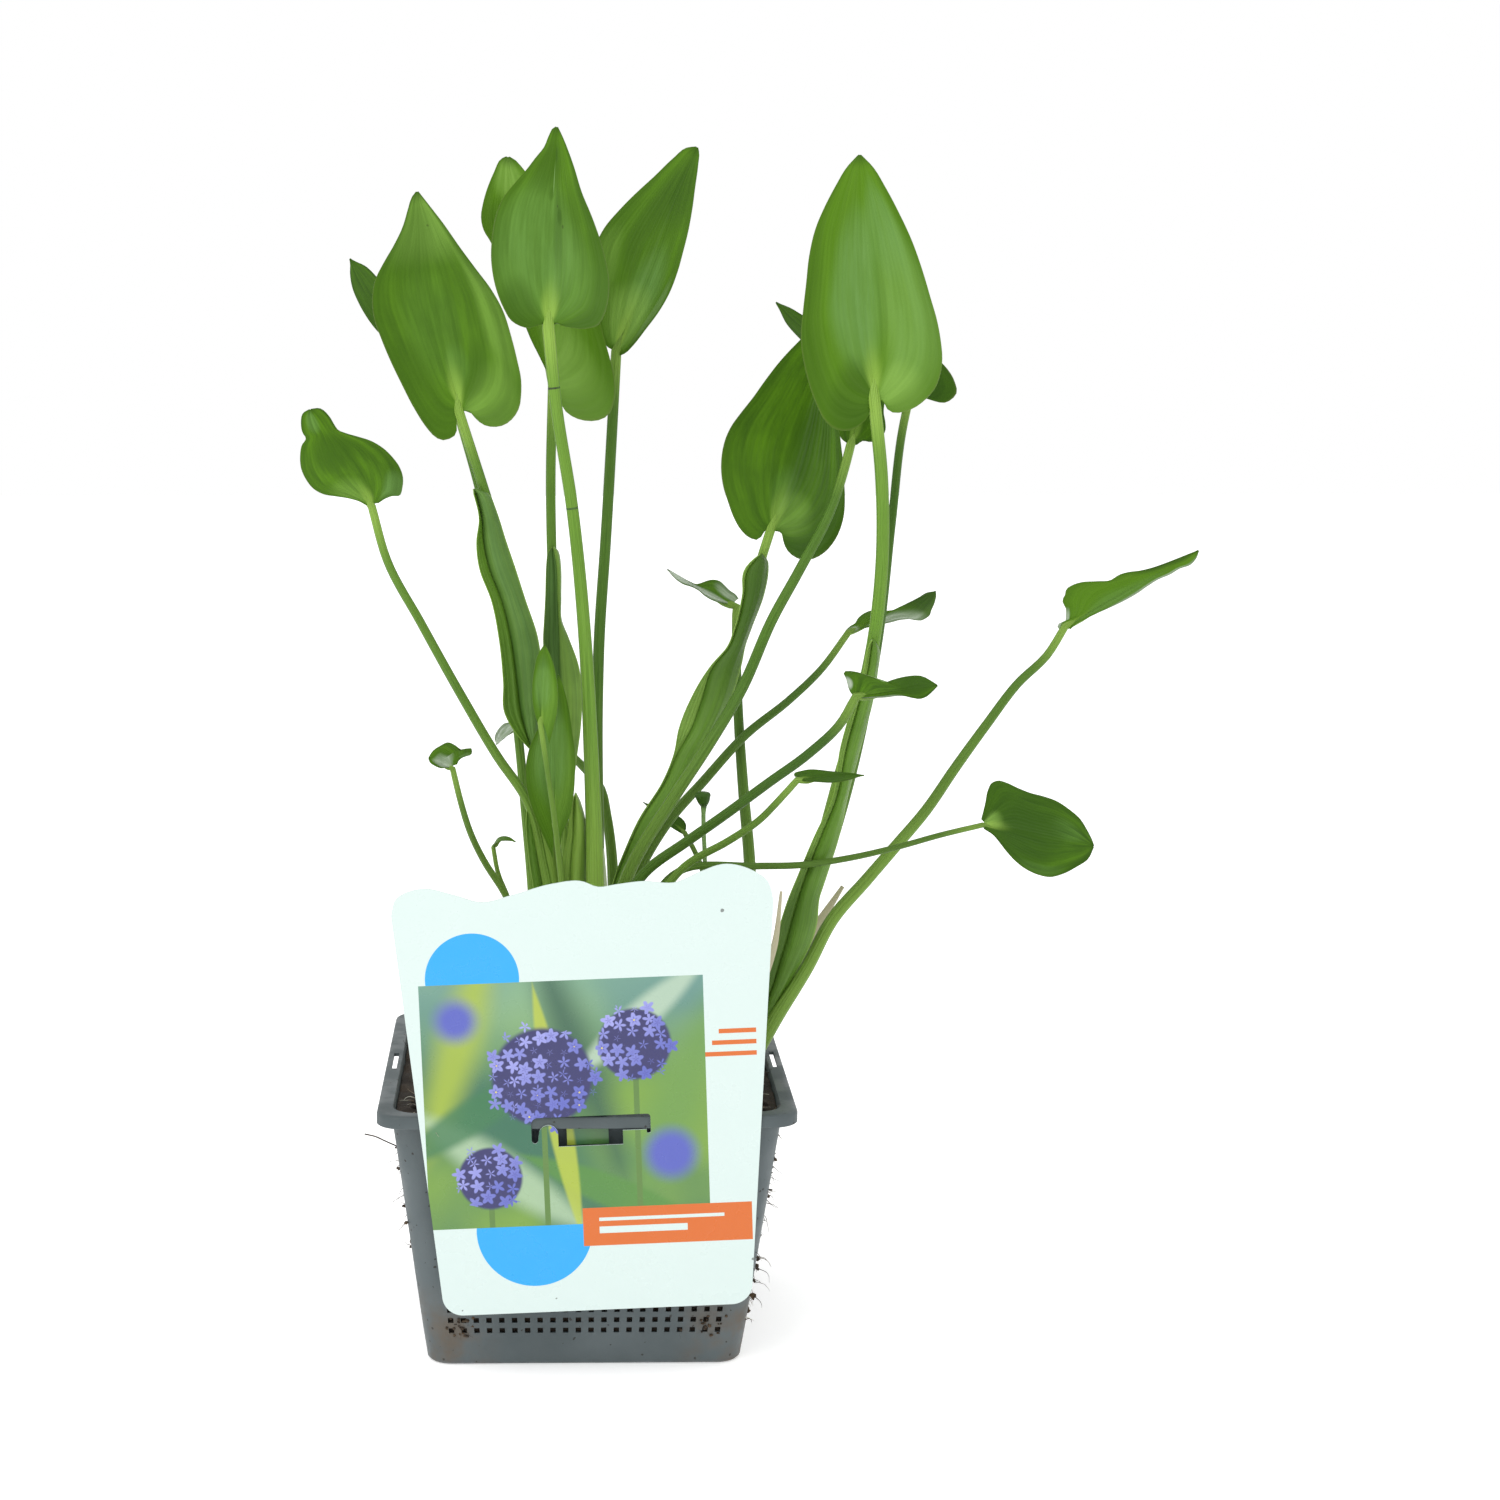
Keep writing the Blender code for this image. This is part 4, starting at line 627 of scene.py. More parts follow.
TONES = {
    "mid": Tone(),
    "dark": Tone(patches=(("deep", 0.5, 0.5, 0.8, 0.8, 0.55),), deep=1.0, light=0.1, base=0.4),
    "centre_tall": Tone(deep=0.5, light=0.25, patches=(("sheen", 0.34, 0.4, 0.42, 0.4, 0.55),
        ("sheen", 0.66, 0.25, 0.25, 0.3, 0.3), ("deep", 0.12, 0.13, 0.22, 0.17, 0.65),
        ("deep", 0.55, 0.5, 0.05, 0.24, 0.6), ("deep", 0.95, 0.4, 0.14, 0.45, 0.45),
        ("deep", 0.38, 0.82, 0.32, 0.18, 0.65), ("deep", 0.52, 0.86, 0.04, 0.05, 0.6),
        ("deep", 0.47, 0.66, 0.03, 0.04, 0.5), ("deep", 0.57, 0.55, 0.03, 0.05, 0.9),
        ("pale", 0.49, 0.74, 0.008, 0.09, 0.6), ("peat", 0.6, 0.5, 0.01, 0.012, 0.8),
        ("peat", 0.55, 0.6, 0.006, 0.01, 0.8))),
    "left_tall": Tone(deep=0.6, light=0.2, patches=(("light", 0.5, 0.88, 0.6, 0.22, 0.6),
        ("peat", 0.58, 0.84, 0.03, 0.006, 0.7), ("sheen", 0.4, 0.4, 0.26, 0.3, 0.15),
        ("light", 0.88, 0.13, 0.2, 0.17, 0.5), ("deep", 0.72, 0.2, 0.09, 0.18, 0.6),
        ("light", 0.9, 0.48, 0.13, 0.3, 0.45), ("deep", 0.12, 0.2, 0.18, 0.28, 0.35),
        ("sheen", 0.55, 0.18, 0.12, 0.14, 0.3), ("deep", 0.35, 0.8, 0.35, 0.2, 0.45))),
    "left_curled": Tone(deep=0.75, light=0.15, base=0.6, patches=(("light", 0.3, 0.15, 0.3, 0.22, 0.45),
        ("sheen", 0.92, 0.16, 0.14, 0.14, 0.9), ("deep", 0.45, 0.6, 0.35, 0.2, 0.6),
        ("sheen", 0.3, 0.9, 0.2, 0.12, 0.6))),
    "centre_back": Tone(deep=0.05, light=0.7, patches=(("light", 0.75, 0.08, 0.4, 0.24, 0.9),
        ("light", 0.4, 0.93, 0.4, 0.14, 0.8), ("light", 0.55, 0.4, 0.3, 0.3, 0.35),
        ("deep", 0.3, 0.7, 0.3, 0.14, 0.5), ("pale", 0.53, 0.12, 0.03, 0.25, 0.6))),
    # centre_slim: the pale patch at its right margin is painted sheen along the folded edge
    "centre_slim": Tone(deep=0.4, light=0.35, patches=(("sheen", 0.62, 0.25, 0.26, 0.28, 0.75),
        ("light", 0.5, 0.12, 0.45, 0.2, 0.9), ("deep", 0.6, 0.8, 0.45, 0.26, 0.85),
        ("pale", 0.93, 0.22, 0.06, 0.17, 0.9), ("deep", 0.32, 0.6, 0.12, 0.26, 0.5),
        ("light", 0.1, 0.35, 0.14, 0.2, 0.4))),
    # right_tall: the deep patch on its left lobe is painted shadow of right_broad showing through the
    # blade; its sheen patches are painted reflection
    "right_tall": Tone(deep=0.15, light=0.5, patches=(("sheen", 0.42, 0.44, 0.22, 0.38, 1.0),
        ("light", 0.8, 0.36, 0.24, 0.4, 0.55), ("sheen", 0.8, 0.44, 0.22, 0.4, 0.55),
        ("sheen", 0.7, 0.7, 0.22, 0.22, 0.75), ("deep", 0.07, 0.45, 0.11, 0.32, 0.4),
        ("deep", 0.6, 0.38, 0.04, 0.22, 0.22), ("deep", 0.2, 0.09, 0.28, 0.15, 0.75),
        ("light", 0.85, 0.1, 0.22, 0.12, 0.7))),
    "right_broad": Tone(deep=0.8, light=0.15, base=0.5, patches=(("deep", 0.56, 0.42, 0.14, 0.32, 0.7),
        ("light", 0.7, 0.12, 0.2, 0.12, 0.4), ("sheen", 0.5, 0.16, 0.16, 0.16, 0.25),
        ("deep", 0.57, 0.06, 0.03, 0.03, 0.9), ("sheen", 0.8, 0.72, 0.3, 0.2, 0.2))),
    "right_low": Tone(deep=1.0, light=0.08, base=0.6, patches=(("light", 0.38, 0.06, 0.24, 0.12, 0.9),
        ("sheen", 0.35, 0.75, 0.18, 0.18, 0.25), ("deep", 0.55, 0.4, 0.5, 0.4, 0.9),
        ("sheen", 0.93, 0.55, 0.08, 0.2, 0.3))),
    "front": Tone(deep=0.2, light=0.4, base=0.4, patches=(("light", 0.7, 0.3, 0.4, 0.4, 0.3),
        ("sheen", 0.45, 0.5, 0.4, 0.4, 0.8), ("deep", 0.45, 0.86, 0.5, 0.2, 0.45),
        ("deep", 0.3, 0.2, 0.1, 0.3, 0.35))),
    "left_cap": Tone(deep=0.5, light=0.2, base=0.3, patches=(("dry", 0.45, 0.3, 0.3, 0.6, 0.75),
        ("pale", 0.95, 0.2, 0.1, 0.1, 0.8), ("peat", 0.99, 0.42, 0.03, 0.05, 1.0),
        ("peat", 0.99, 0.53, 0.04, 0.04, 1.0))),
    "back_curled": Tone(deep=0.4, light=0.1, base=0.0, patches=(("dry", 0.3, 0.45, 0.28, 0.6, 0.95),
        ("dry", 0.5, 0.92, 0.6, 0.3, 1.0), ("dry", 0.85, 0.1, 0.25, 0.25, 0.6))),
    "right_twisted": Tone(deep=0.35, light=0.3, base=0.2, patches=(("dry", 0.8, 0.42, 0.28, 0.28, 0.8),
        ("deep", 0.35, 0.85, 0.6, 0.35, 1.0), ("deep", 0.75, 0.85, 0.25, 0.22, 0.9),
        ("dry", 0.5, 0.02, 0.5, 0.08, 0.8))),
    "right_small": Tone(deep=1.0, light=0.1, base=0.1, patches=(("dry", 0.02, 0.12, 0.06, 0.06, 0.9),
        ("dry", 0.97, 0.25, 0.12, 0.3, 0.6), ("deep", 0.4, 0.75, 0.6, 0.3, 0.9))),
    "far_right": Tone(deep=0.2, light=0.4, base=0.3, patches=(("deep", 0.1, 0.78, 0.36, 0.24, 1.0),
        ("deep", 0.4, 0.9, 0.3, 0.14, 0.8), ("dry", 0.97, 0.62, 0.12, 0.4, 0.75),
        ("dry", 0.02, 0.1, 0.05, 0.08, 0.8), ("sheen", 0.65, 0.35, 0.3, 0.4, 0.6))),
    "drooping": Tone(deep=0.1, light=0.1, base=0.0, patches=(("dry", 0.6, 0.5, 0.9, 0.9, 1.0),)),
}


def soft_patch():
    """An oval patch of the map with a soft edge, round the place Across and Along."""

    def build(nodes, source):
        across, along, _ = nodes.split(source["Map"])
        dx = nodes.math("DIVIDE", nodes.minus(across, source["Across"]), source["Width"])
        dy = nodes.math("DIVIDE", nodes.minus(along, source["Along"]), source["Length"])
        away = nodes.plus(nodes.times(dx, dx), nodes.times(dy, dy))
        return nodes.range(away, 1.2, 0.05)

    inputs = {"Map": "Vector", "Across": "Float", "Along": "Float", "Width": "Float", "Length": "Float"}
    return effect("Soft patch", inputs, "Mask", build)


def blade_finish(tone):
    """The upper side of a blade: streaks, soft patches, darker edges and tip, a pale base at the stalk."""
    kind = TONES[tone]

    def build(nodes):
        look = settings().foliage
        colours = {"sheen": look.sheen, "deep": look.deep, "light": look.light, "pale": look.under,
                   "dry": look.withered, "peat": settings().peat.dark}
        uv = nodes.uv()
        across, along, _ = nodes.split(uv)
        middle = nodes.math("ABSOLUTE", nodes.minus(across, 0.5))
        veins = nodes.times(nodes.lines(26.0, 1.4), nodes.range(along, 0.98, 0.7))
        fine = nodes.streaks(34.0)
        broad = nodes.streaks(9.0)
        clouds = nodes.mottling(24.0)
        colour = nodes.tint(look.upper, look.deep, broad, kind.deep)
        colour = nodes.tint(colour, look.deep, clouds, 0.6 * kind.deep)
        uneven = nodes.range(broad, 0.0, 1.0, 1.0, 0.55)
        # the patches paint sheen (a painted reflection) and painted shade over the blade's own lighter and
        # darker green, as TONES sets them
        for shade, patch_across, patch_along, wide, tall, strength in kind.patches:
            patch = nodes.group(soft_patch(), {"Map": uv, "Across": patch_across, "Along": patch_along,
                                               "Width": wide, "Length": tall})
            patch = nodes.times(nodes.times(patch, uneven), strength)
            colour = nodes.mix(patch, colour, colours[shade])
        colour = nodes.tint(colour, look.light, fine, 0.22 * kind.light)
        colour = nodes.tint(colour, look.deep, veins, 0.05)
        edge = nodes.range(middle, 0.34, 0.5, 0.0, 0.3)
        tip = nodes.range(along, 0.93, 1.0, 0.0, 0.7)
        colour = nodes.mix(nodes.math("MAXIMUM", edge, tip), colour, look.deep)
        spread = nodes.minus(nodes.range(along, 0.0, 0.3, 0.16, 0.02), middle)
        rib = nodes.times(nodes.range(spread, -0.06, 0.06), nodes.range(along, 0.30, 0.01))
        colour = nodes.tint(colour, look.stalk_pale, rib, kind.base)
        margin = nodes.range(middle, 0.488, 0.5)
        colour = nodes.tint(colour, look.margin, margin, 0.2)
        gloss = nodes.plus(nodes.times(clouds, 0.1), kind.rough - 0.05)
        relief = nodes.plus(veins, nodes.times(broad, 1.5))
        nodes.surface(colour, nodes.bump(relief, 0.00005), gloss)

    return finish(f"blade {tone}", build, kind.rough, Specular_IOR_Level=0.09)


def underside_finish():
    """The underside of a blade: paler, duller, with the veins standing out."""

    def build(nodes):
        look = settings().foliage
        veins = nodes.times(nodes.lines(46.0, 2.2), nodes.range(nodes.split(nodes.uv())[1], 0.98, 0.6))
        patches = nodes.mottling(50.0)
        colour = nodes.tint(look.under, look.upper, patches, 0.5)
        colour = nodes.tint(colour, look.stalk_pale, veins, 0.25)
        nodes.surface(colour, nodes.bump(veins, 0.00006))

    return finish("blade underside", build, 0.5)


def stalk_finish(dark=0.5):
    """A fleshy stalk, finely grooved along its length and paler at its foot and under its blade."""

    def build(nodes):
        look = settings().foliage
        grooves = nodes.lines(7.0, 1.0)
        drawn = nodes.streaks(6.0)
        clouds = nodes.mottling(30.0)
        height = nodes.split(nodes.place())[2]
        plain = tuple(Vector(look.stalk).lerp(Vector(look.stalk_deep), dark))
        colour = nodes.tint(plain, look.stalk_deep, clouds, 0.1 + 0.5 * dark)
        colour = nodes.tint(colour, look.stalk_deep, grooves, 0.1 + 0.4 * dark)
        colour = nodes.tint(colour, look.stalk_pale, drawn, 0.3 * (1 - dark))
        foot = nodes.range(height, 0.30, 0.19, 0.0, 0.85 - 0.7 * dark)
        joint = nodes.range(nodes.split(nodes.uv())[1], -0.28, -0.02, 0.0, 0.8 - 0.3 * dark)
        colour = nodes.mix(nodes.math("MAXIMUM", foot, joint), colour, look.stalk_pale)
        nodes.surface(colour, nodes.bump(grooves, 0.0002))

    return finish(f"stalk {dark}", build, 0.4, Specular_IOR_Level=0.2)


def scar_finish():
    """The dark ring that an old sheath leaves round a stalk."""

    def build(nodes):
        look = settings().foliage
        clouds = nodes.mottling(400.0)
        nodes.surface(nodes.mix(clouds, look.stalk_deep, settings().peat.dark), nodes.bump(clouds, 0.0001))

    return finish("stalk scar", build, 0.7)


def sheath_finish(sheath):
    """A leaf sheath: fine parallel ribs, thin lighter edges and a dark crease between flap and body."""
    shades, dark = sheath.shades, sheath.dark

    def build(nodes):
        look = settings().foliage
        # The body of the left_tall sheath and the flap of the centre_back one mix in the sheen colour, a
        # painted reflection of the surrounding light
        colours = {"olive": (look.upper, look.light), "sheened": (look.sheen, look.light),
                   "shaded": (look.deep, look.sheen), "light": (look.light, look.stalk_pale),
                   "ribbed": (look.stalk, look.light), "pale": (look.stalk_pale, look.light)}
        across = nodes.split(nodes.uv())[0]
        drawn = nodes.streaks(9.0)
        fine = nodes.streaks(30.0)
        patches = nodes.mottling(26.0)
        halves = [nodes.mix(nodes.times(drawn, 0.5), *colours[shade]) for shade in shades]
        colour = nodes.mix(nodes.range(across, 0.46, 0.52), *halves)
        colour = nodes.tint(colour, look.deep, patches, 0.7 * dark)
        colour = nodes.tint(colour, look.deep, fine, 0.6 * dark)
        height = nodes.split(nodes.place())[2]
        # painted shade: the body, right of the crease, darkened higher up by up to `top`
        upper = nodes.range(height, 0.25, 0.32, 0.0, sheath.top)
        upper = nodes.times(upper, nodes.range(across, 0.44, 0.50))
        lower = nodes.range(height, 0.235, 0.19, 0.0, sheath.low)
        lower = nodes.times(lower, nodes.range(across, 0.62, 0.46, 0.5, 1.0))
        colour = nodes.mix(nodes.math("MAXIMUM", upper, lower), colour, look.deep)
        # painted shade: the crease between flap and body darkened by up to `dark`
        beside = nodes.math("ABSOLUTE", nodes.minus(across, 0.51))
        colour = nodes.mix(nodes.range(beside, 0.07, 0.0, 0.0, dark), colour, look.deep)
        middle = nodes.math("ABSOLUTE", nodes.minus(across, 0.5))
        thin = nodes.range(middle, 0.45, 0.5)
        colour = nodes.tint(colour, look.stalk_pale, thin, 0.5)
        nodes.surface(colour, nodes.bump(fine, 0.0001))

    return finish(f"sheath {sheath.name}", build, 0.38, Specular_IOR_Level=0.2)


def husk_finish():
    """A dry husk: straw-coloured and fibrous."""

    def build(nodes):
        look = settings().foliage
        fibres = nodes.lines(14.0, 3.0)
        patches = nodes.mottling(120.0)
        colour = nodes.tint(look.husk, look.stalk, patches, 0.25)
        colour = nodes.tint(colour, settings().peat.light, fibres, 0.12)
        nodes.surface(colour, nodes.bump(fibres, 0.0003))

    return finish("husk", build, 0.8)


def bud_finish():
    """A closed bud, dark green on a pale stalk."""

    def build(nodes):
        look = settings().foliage
        drawn = nodes.streaks(8.0)
        stalk = nodes.tint(look.under, look.stalk, drawn, 0.4)
        bud = nodes.tint(look.deep, look.stalk_deep, drawn, 0.5)
        head = nodes.range(nodes.split(nodes.place())[2], 0.2375, 0.2405)
        colour = nodes.mix(head, stalk, bud)
        nodes.surface(colour, nodes.bump(drawn, 0.0002))

    return finish("bud", build, 0.4, Specular_IOR_Level=0.2)


def shoot_finish():
    """A pale young shoot, whitish at its foot."""

    def build(nodes):
        look = settings().foliage
        drawn = nodes.streaks(5.0)
        colour = nodes.tint(look.husk, look.under, drawn, 0.6)
        nodes.surface(colour, nodes.bump(nodes.mottling(200.0), 0.0002))

    return finish("shoot", build, 0.45)


# Mesh helpers


def ride(piece, slot, *nodes):
    """Put a finished piece on the part's one body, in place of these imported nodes."""
    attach(piece, "root")
    if nodes:
        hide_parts(*nodes)
    return piece


def mesh_object(name, points, faces, materials, uvs=None, slots=None, sharp=50.0):
    """A smooth-shaded object from points in millimetres, with one UV for each point if `uvs` is given."""
    mesh = bpy.data.meshes.new(name)
    mesh.from_pydata([tuple(float(value) * MM for value in point) for point in points], [], faces)
    for material in materials:
        mesh.materials.append(material)
    if slots is not None:
        mesh.polygons.foreach_set("material_index", slots)
    if uvs is not None:
        corners = np.empty(len(mesh.loops), np.int32)
        mesh.loops.foreach_get("vertex_index", corners)
        layer = mesh.uv_layers.new(name="UVMap")
        layer.data.foreach_set("uv", np.asarray(uvs, np.float32)[corners].ravel())
    mesh.shade_smooth()
    mesh.set_sharp_from_angle(angle=radians(sharp))
    mesh.validate()
    body = bpy.data.objects.new(name, mesh)
    bpy.context.scene.collection.objects.link(body)
    return body


class Parts:
    """Collects points, faces, UVs and slots of the closed shapes that make one piece."""

    def __init__(self):
        self.points, self.faces, self.uvs, self.slots = [], [], [], []

    def join(self, points, faces, uvs, slots):
        start = len(self.points)
        self.points += [tuple(point) for point in points]
        self.faces += [tuple(start + index for index in face) for face in faces]
        self.uvs += [tuple(uv) for uv in uvs]
        self.slots += list(slots)

    def make(self, name, materials, sharp=50.0):
        return mesh_object(name, self.points, self.faces, materials, self.uvs, self.slots, sharp)


def measured(knots):
    """(distances along the knots, directions of the smooth curve through them)."""
    marks = [0.0]
    for before, after in zip(knots, knots[1:]):
        marks.append(marks[-1] + (after - before).length)
    return marks, [path_slope(knots, marks, index) for index in range(len(knots))]


def smooth_path(points, step):
    """Points about `step` apart on a smooth curve through the given ones."""
    knots = [Vector(point) for point in points]
    marks, slopes = measured(knots)
    count = max(3, round(marks[-1] / step))
    return [path_point(knots, marks, slopes, marks[-1] * (index / count)) for index in range(count + 1)]


def path_slope(knots, marks, index):
    """The curve's direction at one knot, from the knots on either side."""
    low, high = max(index - 1, 0), min(index + 1, len(knots) - 1)
    if low == index or high == index:
        return (knots[high] - knots[low]) / (marks[high] - marks[low])
    ahead = (knots[high] - knots[index]) / (marks[high] - marks[index])
    behind = (knots[index] - knots[low]) / (marks[index] - marks[low])
    share = (marks[index] - marks[low]) / (marks[high] - marks[low])
    return behind.lerp(ahead, share)


def path_point(knots, marks, slopes, mark):
    """The point at distance `mark` along the knots, by cubic interpolation."""
    index = 0
    while index < len(marks) - 2 and mark > marks[index + 1]:
        index += 1
    span = marks[index + 1] - marks[index]
    t = (mark - marks[index]) / span
    start = knots[index] * (2 * t**3 - 3 * t**2 + 1) + slopes[index] * span * (t**3 - 2 * t**2 + t)
    return start + knots[index + 1] * (3 * t**2 - 2 * t**3) + slopes[index + 1] * span * (t**3 - t**2)


def directions(path):
    """The unit direction of the path at each of its points."""
    ahead, behind = path[1:] + path[-1:], path[:1] + path[:-1]
    return [(after - before).normalized() for before, after in zip(behind, ahead)]


def ring_faces(rings, count, skipped=()):
    """Faces between rings of `count` points, without those whose (ring, column) is in `skipped`."""
    faces = []
    for level in range(rings - 1):
        for index in range(count):
            if (level, index) not in skipped:
                turn, low = (index + 1) % count, level * count
                faces.append((low + index, low + turn, low + count + turn, low + count + index))
    return faces


def tube(path, radii, sides, ridges=0.0, flat=1.0, across=(0, 1, 0), origin=0.0):
    """(points, faces, UVs) of a closed round tube. `ridges` is how deep its shallow ribs are.

    U runs from one side of the tube to the other and back, V along it in tenths of a metre from `origin`.
    """
    points, uvs = [], []
    across = Vector(across)
    mark = 0.0
    for index, (centre, along, radius) in enumerate(zip(path, directions(path), radii)):
        across = (across - along * across.dot(along)).normalized()
        other = along.cross(across)
        if index:
            mark += (centre - path[index - 1]).length
        for side in range(sides):
            angle = tau * side / sides
            reach = radius * (1 + ridges * cos(3 * angle + 0.7) + 0.5 * ridges * cos(7 * angle))
            points.append(centre + across * cos(angle) * reach * flat + other * sin(angle) * reach)
            uvs.append((abs(2 * side / sides - 1), (mark - origin) / 100))
    ends = [tuple(range(sides))[::-1], tuple(range(len(points) - sides, len(points)))]
    return points, ends + ring_faces(len(path), sides), uvs


def sheet(grid, thickness, uv_grid, slots=(0, 1)):
    """(points, faces, UVs, slots) of a closed sheet round a grid of middle points."""
    rows, columns = grid.shape[:2]
    normal = np.cross(np.gradient(grid, axis=1), np.gradient(grid, axis=0))
    normal /= np.maximum(np.linalg.norm(normal, axis=2, keepdims=True), 1e-9)
    top = (grid + normal * thickness[..., None] / 2).reshape(-1, 3)
    bottom = (grid - normal * thickness[..., None] / 2).reshape(-1, 3)
    count = rows * columns
    faces, kinds = [], []
    for row in range(rows - 1):
        for column in range(columns - 1):
            a = row * columns + column
            b, c, d = a + 1, a + columns + 1, a + columns
            faces += [(a, b, c, d), (count + d, count + c, count + b, count + a)]
            kinds += slots
    edge = list(range(columns))
    edge += [row * columns + columns - 1 for row in range(1, rows)]
    edge += [(rows - 1) * columns + column for column in range(columns - 2, -1, -1)]
    edge += [row * columns for row in range(rows - 2, 0, -1)]
    for a, b in zip(edge, edge[1:] + edge[:1]):
        faces.append((b, a, count + a, count + b))
        kinds.append(slots[0])
    flat_uv = uv_grid.reshape(-1, 2)
    return np.vstack((top, bottom)), faces, np.vstack((flat_uv, flat_uv)), kinds


# Leaves

GAP = 0.3
LEAST_HALF = 0.25
TOP_SHARE = 0.994  # how far up the midrib a blade's last row stands
GROOVE_DEPTH = 0.5  # the hollow along the midrib, and its half width as a share of the blade's
GROOVE_HALF = 0.14
BLADE_COLUMNS = 30
BLADE_ROWS = 52
SMALL_BLADE = 45.0
STALK_SIDES = 16
RIB_SHARE = 0.55  # how far up its blade a stalk goes on as a rib
RIB_STEPS = 26
RIB_SINKS = 0.10  # how far up its blade the rib has sunk in
RIB_SHOWS = 0.12
SCAR_WIDTH = 0.9


@lru_cache(maxsize=None)
def outline_curve(outline, length):
    """(knots, marks, slopes) of the smooth curve through an edge's known places and its tip."""
    knots = [Vector((*place, 0)) for place in zip(outline[::2], outline[1::2])] + [Vector((0, length, 0))]
    return knots, *measured(knots)


def margin(edge, length, share):
    """A point of the flat blade's edge: round the basal lobe first, then up to the tip."""
    knots, marks, slopes = outline_curve(edge.outline, length)
    point = path_point(knots, marks, slopes, share * marks[-1])
    return max(LEAST_HALF, point.x), point.y


def bent(leaf, edge, length, across, along, lift):
    """Fold, curl, twist and arch one point of the flat blade. `across` is never negative here."""
    start, bend = radians(edge.fold), (radians(edge.curl) or 1e-6) / edge.half
    out = (sin(start + bend * across) - sin(start)) / bend
    lift += (cos(start) - cos(start + bend * across)) / bend
    x = -out if edge is leaf.left else out
    turn = radians(leaf.twist) * (along / length - 0.5)
    x, z = x * cos(turn) - lift * sin(turn), x * sin(turn) + lift * cos(turn)
    arch = radians(leaf.arch) or 1e-6
    radius, angle = length / arch, arch * along / length
    return Vector((x, radius * sin(angle) + z * sin(angle), z * cos(angle) - radius * (1 - cos(angle))))


def blade_frame(leaf, base):
    """(length along the midrib, matrix) that put the bent blade from `base` to its tip's place."""
    chord = Vector(leaf.tip) - base
    half_arch = radians(leaf.arch) / 2 or 1e-6
    along = chord.normalized()
    up = Vector(leaf.face)
    up = (up - along * up.dot(along)).normalized()
    first = along * cos(half_arch) + up * sin(half_arch)
    normal = up * cos(half_arch) - along * sin(half_arch)
    turn = Matrix((first.cross(normal), first, normal)).transposed().to_4x4()
    return chord.length * half_arch / sin(half_arch), Matrix.Translation(base) @ turn


def blade_base(leaf, path):
    """Where the blade starts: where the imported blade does, past the end of its stalk."""
    joint = Vector(leaf.route[-1])
    _, place = blade_frame(leaf, joint)
    forward = place.to_3x3() @ Vector((0, 1, 0))
    meeting = max(-1.0, min(1.0, forward.dot(directions(path)[-1])))
    return joint + forward * (GAP + leaf.thick[1] / 2 * sin(acos(meeting)))


def ripple(leaf, edge, v, share):
    """How far the blade's waviness lifts a point off its smooth shape."""
    phase = 2.4 * len(leaf.name) + (1.3 if edge is leaf.left else 0.0)
    rise = edge.wave * abs(v) ** 3 * sin(tau * 1.7 * share + phase)
    swell = 0.35 * edge.wave * sin(tau * 1.1 * share + 2 * phase + 2.2 * v) * (1 - share)
    groove = -GROOVE_DEPTH * (1 - share) ** 2 * max(0.0, 1 - abs(v) / GROOVE_HALF)
    return rise + swell + groove


def blade_point(leaf, place, length, v, share):
    """A point of the blade's middle surface: `v` runs from -1 at the left edge to 1 at the right one."""
    edge = leaf.right if v > 0 else leaf.left
    edge_x, edge_y = margin(edge, length, share)
    weight = v * v
    along = (1 - weight) * share * length + weight * edge_y
    scale = min(1.0, edge.half / 12)
    return place @ bent(leaf, edge, length, abs(v) * edge_x, along, scale * ripple(leaf, edge, v, share))


def blade_shape(leaf, path):
    """(points, faces, UVs, slots) of the blade, thickest at the midrib and thin at its edge."""
    length, place = blade_frame(leaf, blade_base(leaf, path))
    small = length < SMALL_BLADE
    columns = BLADE_COLUMNS // 2 if small else BLADE_COLUMNS
    rows = BLADE_ROWS // 2 if small else BLADE_ROWS
    grid, uv_grid = np.empty((rows + 1, columns + 1, 3)), np.empty((rows + 1, columns + 1, 2))
    for row in range(rows + 1):
        share = TOP_SHARE * row / rows
        for column in range(columns + 1):
            v = 2 * column / columns - 1
            grid[row, column] = blade_point(leaf, place, length, v, share)
            uv_grid[row, column] = (v + 1) / 2, share
    across = np.abs(uv_grid[..., 0] * 2 - 1)
    thickness = settings().foliage.blade_thickness / MM * (1 - 0.75 * across**1.5)
    return sheet(grid, thickness, uv_grid)


def stalk_radius(leaf, share):
    """The stalk's radius at a share of the way from its foot to the joint."""
    foot, joint = leaf.thick
    return (joint + (foot - joint) * max(0.0, 1 - share) ** leaf.taper) / 2


def marked_path(leaf):
    """(path, marks, marked steps) of a stalk, with a thin step in the path at each of its scars."""
    path = smooth_path(leaf.route, 4.0)
    marks, slopes = measured(path)
    joint = marks[-1]
    scars = [joint - distance for distance in leaf.marks]
    wanted = sorted(marks + [scar + side * SCAR_WIDTH / 2 for scar in scars for side in (-1, 1)])
    steps = {index for index, mark in enumerate(wanted)
             if any(abs(mark + SCAR_WIDTH / 2 - scar) < 1e-6 for scar in scars)}
    return [path_point(path, marks, slopes, mark) for mark in wanted], wanted, steps


